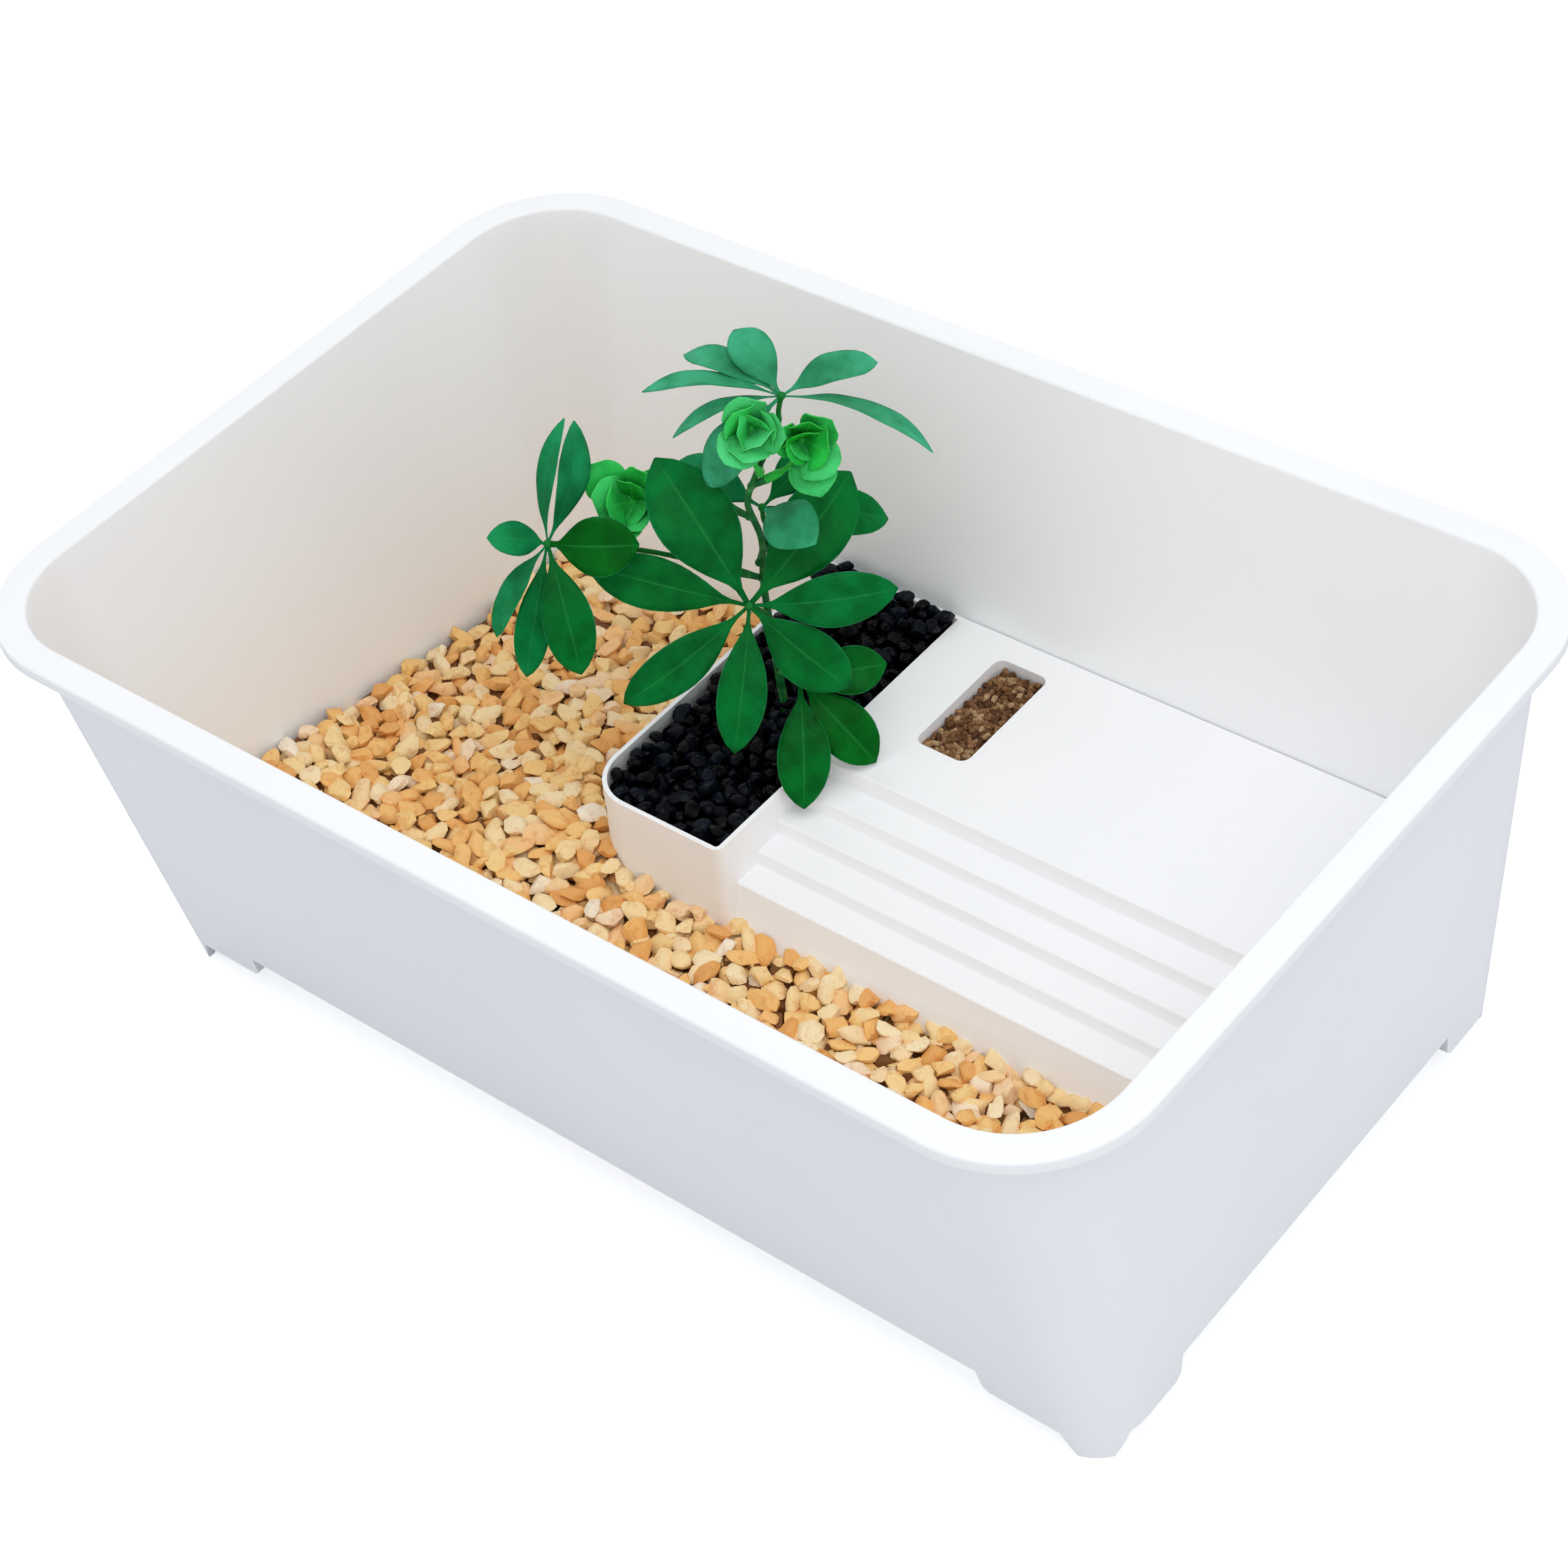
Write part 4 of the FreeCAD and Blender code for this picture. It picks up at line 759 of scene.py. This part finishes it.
STEM_KNOTS = [(0, 0, 0), (-0.5, -0.5, 54.2), (0.5, 0.5, 66.9), (-1.0, -1.0, 76.6), (3.4, 3.4, 89.3)]
WHORLS = {
    "middle_leaf_whorl": {
        "from": (-0.5, -0.5, 46.4),
        "twig": (0.5, -2.4, 49.3),
        "bend": (2.4, -6.8, 55.6),
        "middle": (4.9, -10.4, 59.7),
        "faces": (-44, 30),
        "leaflets": [
            (110, -2, 100, 100), (156, -7, 97, 68), (-148, -2, 93, 62), (-104, 6, 86, 62),
            (-52, -3, 77, 74), (-6, 3, 86, 68), (39, -13, 98, 93),
        ],
    },
    "left_leaf_whorl": {
        "from": (-0.5, -0.5, 57.1),
        "twig": (-2.9, -3.4, 59.5),
        "bend": (-17.5, -14.5, 67.5),
        "middle": (-28.3, -28.6, 74.2),
        "faces": (-44, 30),
        "leaflets": [
            (83, 4, 75, 34), (57, -5, 73, 56), (-140, 3, 62, 50), (150, 30, 40, 52),
            (-111, -4, 82, 62), (-83, 5, 79, 70), (-9, 20, 56, 76),
        ],
    },
    "top_leaf_whorl": {
        "from": (3.4, 3.4, 89.3),
        "twig": (4.3, 4.3, 92.2),
        "bend": (5.3, 5.3, 96.6),
        "middle": (6, 6, 100),
        "faces": (-44, 62),
        "leaflets": [
            (160, 3, 79, 45), (137, -4, 64, 56), (114, 5, 49, 56), (15, 2, 58, 62),
            (-20, -6, 92, 48), (180, -7, 66, 40), (-150, -35, 72, 60),
        ],
    },
    "rear_leaf_whorl": {
        "from": (-0.5, -0.5, 61),
        "twig": (-0.9, 2.1, 63),
        "bend": (-1.4, 3.4, 68.5),
        "middle": (-0.6, 2.9, 72.4),
        "faces": (-44, 50),
        "leaflets": [(-8, -25, 82, 60), (-50, 40, 52, 70), (38, -12, 54, 52), (140, -14, 60, 55)],
    },
    "lower_leaf_whorl": {
        "from": (-0.3, -0.3, 31.8),
        "twig": (1.9, -1.5, 33.7),
        "bend": (6.8, -4.4, 38.1),
        "middle": (11.7, -6.9, 40.6),
        "faces": (-44, 43),
        "leaflets": [(-95, -2, 75, 68), (-56, -5, 66, 70), (1, 0, 52, 62)],
    },
    "top_young_leaves": {
        "from": (1.6, 1.6, 83.9),
        "twig": (4.2, -1.0, 86),
        "bend": (7, -5, 92),
        "middle": (6.4, -3.6, 99),
        "faces": (-44, 25),
        "leaflets": [(100, 40, 28, 60), (220, 40, 28, 60), (345, 40, 23, 54)],
    },
    "upper_young_leaves": {
        "from": (0.2, 0.2, 80),
        "twig": (2.8, 1.9, 81.6),
        "bend": (9.3, 3.6, 87.3),
        "middle": (12, 3.5, 93.8),
        "faces": (-40, 20),
        "leaflets": [(35, 40, 26, 56), (155, 40, 22, 46), (275, 30, 34, 62)],
    },
    "left_young_leaves": {
        "from": (-0.8, -0.8, 72.7),
        "twig": (-4.4, -2.0, 74.3),
        "bend": (-12, -6.5, 76.5),
        "middle": (-22, -10.5, 74.5),
        "faces": (-60, 40),
        "leaflets": [(20, 35, 34, 60), (140, 38, 36, 60), (255, 35, 32, 58)],
    },
}

# %% One leaflet
OUTLINE = [
    (0.0, 0.07), (0.08, 0.075), (0.14, 0.10), (0.2, 0.27), (0.3, 0.58), (0.42, 0.86), (0.54, 0.99),
    (0.64, 1.0), (0.74, 0.92), (0.84, 0.74), (0.92, 0.48), (0.97, 0.24), (1.0, 0.03),
]
LIFT = [(0.0, 0.0), (0.14, 0.012), (0.3, 0.035), (0.52, 0.045), (0.74, 0.025), (0.9, -0.01), (1.0, -0.04)]


COLUMNS, ROWS = 18, 8
# The wave along a leaflet's edges: its pace and how far its two sides are out of step.
WAVE_PACE = 11
OUT_OF_STEP = 1.9
# How much the fold flattens out towards the edges.
FOLD_EASE = 0.35
# Where a leaflet is narrower than this share of its width, the wave fades.
FULL_WAVE = 0.3


def leaflet_grid(shape, uv_layer, draw, length, width, place, tone, fold, wave, curl, roll):
    """Adds one leaflet to a mesh. place is the matrix of its stalk end: X along the leaf,
    Z out of its upper face. The leaflet is folded and waved by shares of its width. It bends
    by curl with its tip kept in place, and rolls about its rib."""
    tone_layer = shape.verts.layers.float["tone"]
    place = place @ Matrix.Rotation(curl / 2, 4, "Y") @ Matrix.Rotation(math.radians(roll), 4, "X")
    made = bmesh.ops.create_grid(shape, x_segments=COLUMNS, y_segments=ROWS, size=0.5)
    phase, bend = draw.uniform(0, 6.28), draw.uniform(-0.05, 0.05)
    point_uv = {}
    for point in made["verts"]:
        share, side = point.co.x + 0.5, point.co.y * 2
        point_uv[point] = (share, point.co.y + 0.5)
        half = np.interp(share, *zip(*OUTLINE)) * width / 2
        rib = np.interp(share, *zip(*LIFT)) * length
        across = side * half
        step = OUT_OF_STEP if side > 0 else 0
        ripple = wave * width * math.sin(share * WAVE_PACE + phase + step) * side * side
        ripple *= min(1, half / (FULL_WAVE * width))
        lift = rib + fold * abs(across) * (1 - FOLD_EASE * abs(side)) + ripple
        turn = curl * share
        x = length * math.sin(turn) / curl - lift * math.sin(turn)
        z = length * (1 - math.cos(turn)) / curl + lift * math.cos(turn)
        y = across + bend * length * share * share
        point.co = place @ Vector((x, y, z))
        point[tone_layer] = tone
    for face in {f for v in made["verts"] for f in v.link_faces}:
        face.smooth = True
        for corner in face.loops:
            corner[uv_layer].uv = point_uv[corner.vert]


def whorl_axes(plan):
    """The way a whorl faces, and the two directions across it."""
    turn, rise = (math.radians(angle) for angle in plan["faces"])
    facing = Vector((math.cos(turn) * math.cos(rise), math.sin(turn) * math.cos(rise), math.sin(rise)))
    side = Vector((0, 0, 1)).cross(facing).normalized()
    return facing, side, facing.cross(side)


def leaflet_place(plan, turn, rise):
    """The matrix of a leaflet's stalk end at the middle of its whorl."""
    facing, side, up = whorl_axes(plan)
    turn, rise = math.radians(turn), math.radians(rise)
    outward = side * math.cos(turn) + up * math.sin(turn)
    along = outward * math.cos(rise) + facing * math.sin(rise)
    normal = facing * math.cos(rise) - outward * math.sin(rise)
    across = normal.cross(along)
    middle = plant_point(*plan["middle"])
    axes = Matrix((along, across, normal)).transposed().to_4x4()
    return Matrix.Translation(middle) @ axes


# %% [markdown]
# Stalks and stems are round rods along a bent line. A curve with a round bevel makes
# such a rod, and its radius can change along the way. It is turned into a mesh at the end,
# so that it can be joined with the leaflets.

# %% A bent rod
def rod(shape, points, radii, uv_layer, sides=10):
    """Adds a round rod along points to a mesh. It is a smooth curve with a round section."""
    line = bpy.data.curves.new("rod", "CURVE")
    line.dimensions = "3D"
    line.bevel_depth = 1.0
    line.bevel_resolution = sides // 4
    line.use_fill_caps = True
    line.resolution_u = 5
    spline = line.splines.new("NURBS")
    spline.points.add(len(points) - 1)
    for knot, point, radius in zip(spline.points, points, radii):
        knot.co = (*point, 1)
        knot.radius = radius
    spline.order_u = 3
    spline.use_endpoint_u = True
    holder = bpy.data.objects.new("rod", line)
    mesh = bpy.data.meshes.new_from_object(holder)
    before = len(shape.faces)
    shape.from_mesh(mesh)
    shape.faces.ensure_lookup_table()
    for face in shape.faces[before:]:
        face.smooth = True
        for corner in face.loops:
            corner[uv_layer].uv = (0.05, 0.5)
    bpy.data.objects.remove(holder)
    bpy.data.curves.remove(line)
    bpy.data.meshes.remove(mesh)


# %% Whorls
STALK = 1.2
TWIG_END = 2.2
LEAF_THICKNESS = 0.5
# Each table says something of whole whorls or of their single leaflets: how young and how lit
# they are, partly painted light, how far they bend over their length, in radians, how slim
# they are, and how far they roll about their rib, in degrees.
FRESH_AND_LIT = {
    "top_leaf_whorl": 0.95, "lower_leaf_whorl": 0.02, "rear_leaf_whorl": [0.1, 0.85, 0.15, 0.4],
    "left_leaf_whorl": [0.5, 0.4, 0.4, 0.5, 0.25, 0.1, 0.05],
    "top_young_leaves": 0.7, "upper_young_leaves": 0.4, "left_young_leaves": 0.45,
}
CURL = {"top_leaf_whorl": -0.55, "left_leaf_whorl": -0.5}
SLIM = {
    "top_leaf_whorl": [0.72, 0.82, 0.95, 0.85, 0.72, 0.65, 1],
    "left_leaf_whorl": [0.85, 0.85, 0.75, 0.85, 0.72, 0.92, 1],
}
ROLL = {"top_leaf_whorl": [32, 24, 0, -22, -38, 28, 0], "left_leaf_whorl": [-42, 38, 46, 30, 0, 0, 0]}


def of_leaflet(table, name, k, usual):
    """What a table says of one leaflet of a whorl, or the usual value."""
    value = table.get(name, usual)
    return value[k] if isinstance(value, list) else value


def tuft(leaflets, draw):
    """The outer ring of small leaves and two more, each steeper and shorter, that make a
    round tuft."""
    rings = list(leaflets)
    for ring in (1, 2):
        for turn, rise, length, width in leaflets:
            turn += 30 * ring + draw.uniform(-14, 14)
            rise += 13 * ring + draw.uniform(-6, 6)
            rings.append((turn, rise, length * (1 - 0.16 * ring), width))
    return rings


def make_whorl(name, draw):
    plan = WHORLS[name]
    young = "young" in name
    blades = bmesh.new()
    uv_layer = blades.loops.layers.uv.new("leaf")
    blades.verts.layers.float.new("tone")
    leaflets = tuft(plan["leaflets"], draw) if young else plan["leaflets"]
    for k, (turn, rise, length, width) in enumerate(leaflets):
        place = leaflet_place(plan, turn, rise)
        # Leaflets high on the plant and those that face up get lighter tones: partly young leaflets, partly
        # painted light.
        upward_painted_light = place.col[2].z
        tone = of_leaflet(FRESH_AND_LIT, name, k, 0.16) + 0.2 * (upward_painted_light - 0.6)
        tone += draw.uniform(-0.2, 0.2) if young else draw.uniform(-0.05, 0.05)
        tone = min(1, max(0, tone))
        slim = 0.95 if young else of_leaflet(SLIM, name, k, 1)
        curl = draw.uniform(0.1, 0.6) if young else of_leaflet(CURL, name, k, -0.2)
        leaflet_grid(
            blades, uv_layer, draw, LEAF_LENGTH * length / 100, LEAF_WIDTH * width / 100 * slim,
            place, tone, fold=0.14 if young else 0.16, wave=0.06 if young else 0.035,
            curl=curl, roll=of_leaflet(ROLL, name, k, 0),
        )
    bmesh.ops.remove_doubles(blades, verts=blades.verts, dist=0.001)
    bmesh.ops.solidify(blades, geom=blades.faces, thickness=LEAF_THICKNESS)
    twig_start, twig_end = plant_point(*plan["from"]), plant_point(*plan["twig"])
    bend, middle = plant_point(*plan["bend"]), plant_point(*plan["middle"])
    along = (twig_end - twig_start).normalized()
    rod(
        blades,
        [twig_end, twig_end + along * 6, twig_end + along * 8, bend, middle * 0.9 + bend * 0.1, middle],
        [TWIG_END, TWIG_END, STALK, STALK, STALK, STALK * 1.5],
        uv_layer,
    )
    hub = bmesh.ops.create_icosphere(
        blades, subdivisions=2, radius=STALK * 1.7, matrix=Matrix.Translation(middle)
    )
    for face in {f for v in hub["verts"] for f in v.link_faces}:
        face.smooth = True
        for corner in face.loops:
            corner[uv_layer].uv = (0.02, 0.5)
    bmesh.ops.scale(blades, vec=(MM, MM, MM), verts=blades.verts)
    mesh = bpy.data.meshes.new(name)
    blades.to_mesh(mesh)
    blades.free()
    material = young_green if young else leaf_green
    return add_piece("moulded_" + name, mesh, name, [material])


leaf_draw = random.Random(17)
whorls = [make_whorl(name, leaf_draw) for name in WHORLS]
print("whorls:", len(whorls), "triangles:", sum(len(w.data.polygons) for w in whorls) * 2)

# %% Stem
STEM_FOOT = 2.3
STEM_TAPER = 0.9
TWIG_RADII = [1.5, 1.6, TWIG_END]
KNOT = 2.0
FOOT_DISC = {"radius": 15, "height": 4}


def stem_plastic():
    """Green stem with a lighter, mottled skin."""
    material, tree, shader = new_material("stem_plastic", {"Roughness": 0.5, "Specular IOR Level": 0.2})
    spots = speckle(tree, 6, detail=4)
    skin = ramp(tree, spots.outputs["Fac"], [(0.3, "#0F5A2A"), (0.55, "#1F7A3C"), (0.75, "#5E9A58")])
    tree.links.new(skin.outputs["Color"], shader.inputs["Base Color"])
    relief = bump(tree, spots.outputs["Fac"], 0.3, 0.5)
    tree.links.new(relief.outputs["Normal"], shader.inputs["Normal"])
    return material


def make_stem():
    stem = bmesh.new()
    uv_layer = stem.loops.layers.uv.new("leaf")
    knots = [plant_point(*knot) for knot in STEM_KNOTS]
    tip = plant_point(*WHORLS["top_leaf_whorl"]["twig"])
    path = [knots[0]]
    for start, end in zip(knots, knots[1:]):
        path += [start.lerp(end, 0.5), end]
    path += [tip]
    radii = [STEM_FOOT - STEM_TAPER * (p.z - knots[0].z) / (knots[-1].z - knots[0].z) for p in path]
    rod(stem, path, radii, uv_layer, sides=12)
    for plan in WHORLS.values():
        start, end = plant_point(*plan["from"]), plant_point(*plan["twig"])
        rod(stem, [start, start.lerp(end, 0.5), end], TWIG_RADII, uv_layer)
        knot = bmesh.ops.create_icosphere(
            stem, subdivisions=2, radius=KNOT, matrix=Matrix.Translation(start)
        )
        for face in {f for v in knot["verts"] for f in v.link_faces}:
            face.smooth = True
    radius, height = FOOT_DISC["radius"], FOOT_DISC["height"]
    foot = Matrix.Translation(knots[0] + Vector((0, 0, height / 2)))
    bmesh.ops.create_cone(
        stem, cap_ends=True, segments=32, radius1=radius, radius2=radius, depth=height, matrix=foot
    )
    bmesh.ops.scale(stem, vec=(MM, MM, MM), verts=stem.verts)
    mesh = bpy.data.meshes.new("plant_stem")
    stem.to_mesh(mesh)
    stem.free()
    return add_piece("moulded_plant_stem", mesh, "plant_stem", [stem_plastic()])


stem = make_stem()
print("stem faces:", len(stem.data.polygons))

# %% [markdown]
# ## Floor, light and camera
#
# The tank stands on a plain pale floor under soft studio light. The floor shows white to
# the camera and keeps the soft shadow under the tank. Most light comes from the pale sky
# all around and a little from one large lamp, because a white tank in hard light would
# lose its edges. The camera looks down at the front right corner from about 1.6 metres
# away through a long lens.

# %% Floor
CAMERA_GLOW = 0.64


def pale_floor():
    """Pale grey paper. The camera sees it brighter than it lights the tank."""
    material, tree, shader = new_material("pale_floor", {
        "Base Color": colour("#D8DBE0"), "Roughness": 0.9, "Specular IOR Level": 0.0,
    })
    glow = add_node(tree, "ShaderNodeEmission", inputs={"Color": (1, 1, 1, 1)})
    path = add_node(tree, "ShaderNodeLightPath")
    share = add_node(tree, "ShaderNodeMath", {"operation": "MULTIPLY"}, {
        0: path.outputs["Is Camera Ray"], 1: CAMERA_GLOW,
    })
    tree.links.new(share.outputs[0], glow.inputs["Strength"])
    both = add_node(tree, "ShaderNodeAddShader")
    tree.links.new(shader.outputs["BSDF"], both.inputs[0])
    tree.links.new(glow.outputs["Emission"], both.inputs[1])
    output = next(n for n in tree.nodes if n.type == "OUTPUT_MATERIAL")
    tree.links.new(both.outputs[0], output.inputs["Surface"])
    return material


floor_shape = bmesh.new()
bmesh.ops.create_grid(floor_shape, x_segments=1, y_segments=1, size=6.0)
floor_mesh = bpy.data.meshes.new("studio_floor")
floor_shape.to_mesh(floor_mesh)
floor_shape.free()
floor = bpy.data.objects.new("studio_floor", floor_mesh)
floor_mesh.materials.append(pale_floor())
bpy.context.scene.collection.objects.link(floor)

# %% World and lamp
scene = bpy.context.scene
scene.view_settings.view_transform = "Standard"
world = bpy.data.worlds.new("studio")
scene.world = world
world.use_nodes = True
sky = world.node_tree
sky.nodes.clear()
path = add_node(sky, "ShaderNodeLightPath")
seen = add_node(sky, "ShaderNodeMath", {"operation": "MAXIMUM"}, {
    0: path.outputs["Is Camera Ray"], 1: path.outputs["Is Glossy Ray"],
})
through = add_node(sky, "ShaderNodeMath", {"operation": "MAXIMUM"}, {
    0: seen.outputs[0], 1: path.outputs["Is Transmission Ray"],
})
strength = add_node(sky, "ShaderNodeMapRange", inputs={
    "Value": through.outputs[0], "To Min": 0.82, "To Max": 1.0,
})
light = add_node(sky, "ShaderNodeBackground", inputs={
    "Color": (0.965, 0.98, 1.0, 1), "Strength": strength.outputs["Result"],
})
sky_output = add_node(sky, "ShaderNodeOutputWorld")
sky.links.new(light.outputs[0], sky_output.inputs["Surface"])


def soft_lamp(name, place, aim, width, power, code):
    """A square softbox, width metres wide, that faces the point aim."""
    lamp = bpy.data.lights.new(name, "AREA")
    lamp.shape = "SQUARE"
    lamp.size = width
    lamp.energy = power
    lamp.color = colour(code)[:3]
    holder = bpy.data.objects.new(name, lamp)
    holder.location = place
    holder.rotation_euler = (Vector(aim) - Vector(place)).to_track_quat("-Z", "Y").to_euler()
    scene.collection.objects.link(holder)
    return holder


softbox = soft_lamp(
    "high_softbox", place=(0.95, -0.45, 2.2), aim=(0, 0, 0.1), width=1.6, power=13.0, code="#FEFDFD"
)
print("lamp:", softbox.name)

# %% Camera
def camera_axes(azimuth, elevation, roll):
    """The camera's X, Y and Z axes. Azimuth and elevation say where it stands."""
    a, e, r = (math.radians(angle) for angle in (azimuth, elevation, roll))
    back = Vector((math.sin(a) * math.cos(e), -math.cos(a) * math.cos(e), math.sin(e)))
    right = Vector((math.cos(a), math.sin(a), 0))
    up = back.cross(right)
    return right * math.cos(r) + up * math.sin(r), up * math.cos(r) - right * math.sin(r), back


eye = bpy.data.cameras.new("studio_camera")
eye.sensor_width = 36
eye.lens = 79.02
camera = bpy.data.objects.new("studio_camera", eye)
scene.collection.objects.link(camera)
axes = camera_axes(azimuth=45.646, elevation=43.3115, roll=-9.6201)
placed = Matrix(axes).transposed().to_4x4()
placed.translation = Vector((788.82, -769.98, 1163.3)) * MM
camera.matrix_world = placed
scene.camera = camera
print("camera at", [round(v, 3) for v in camera.location])
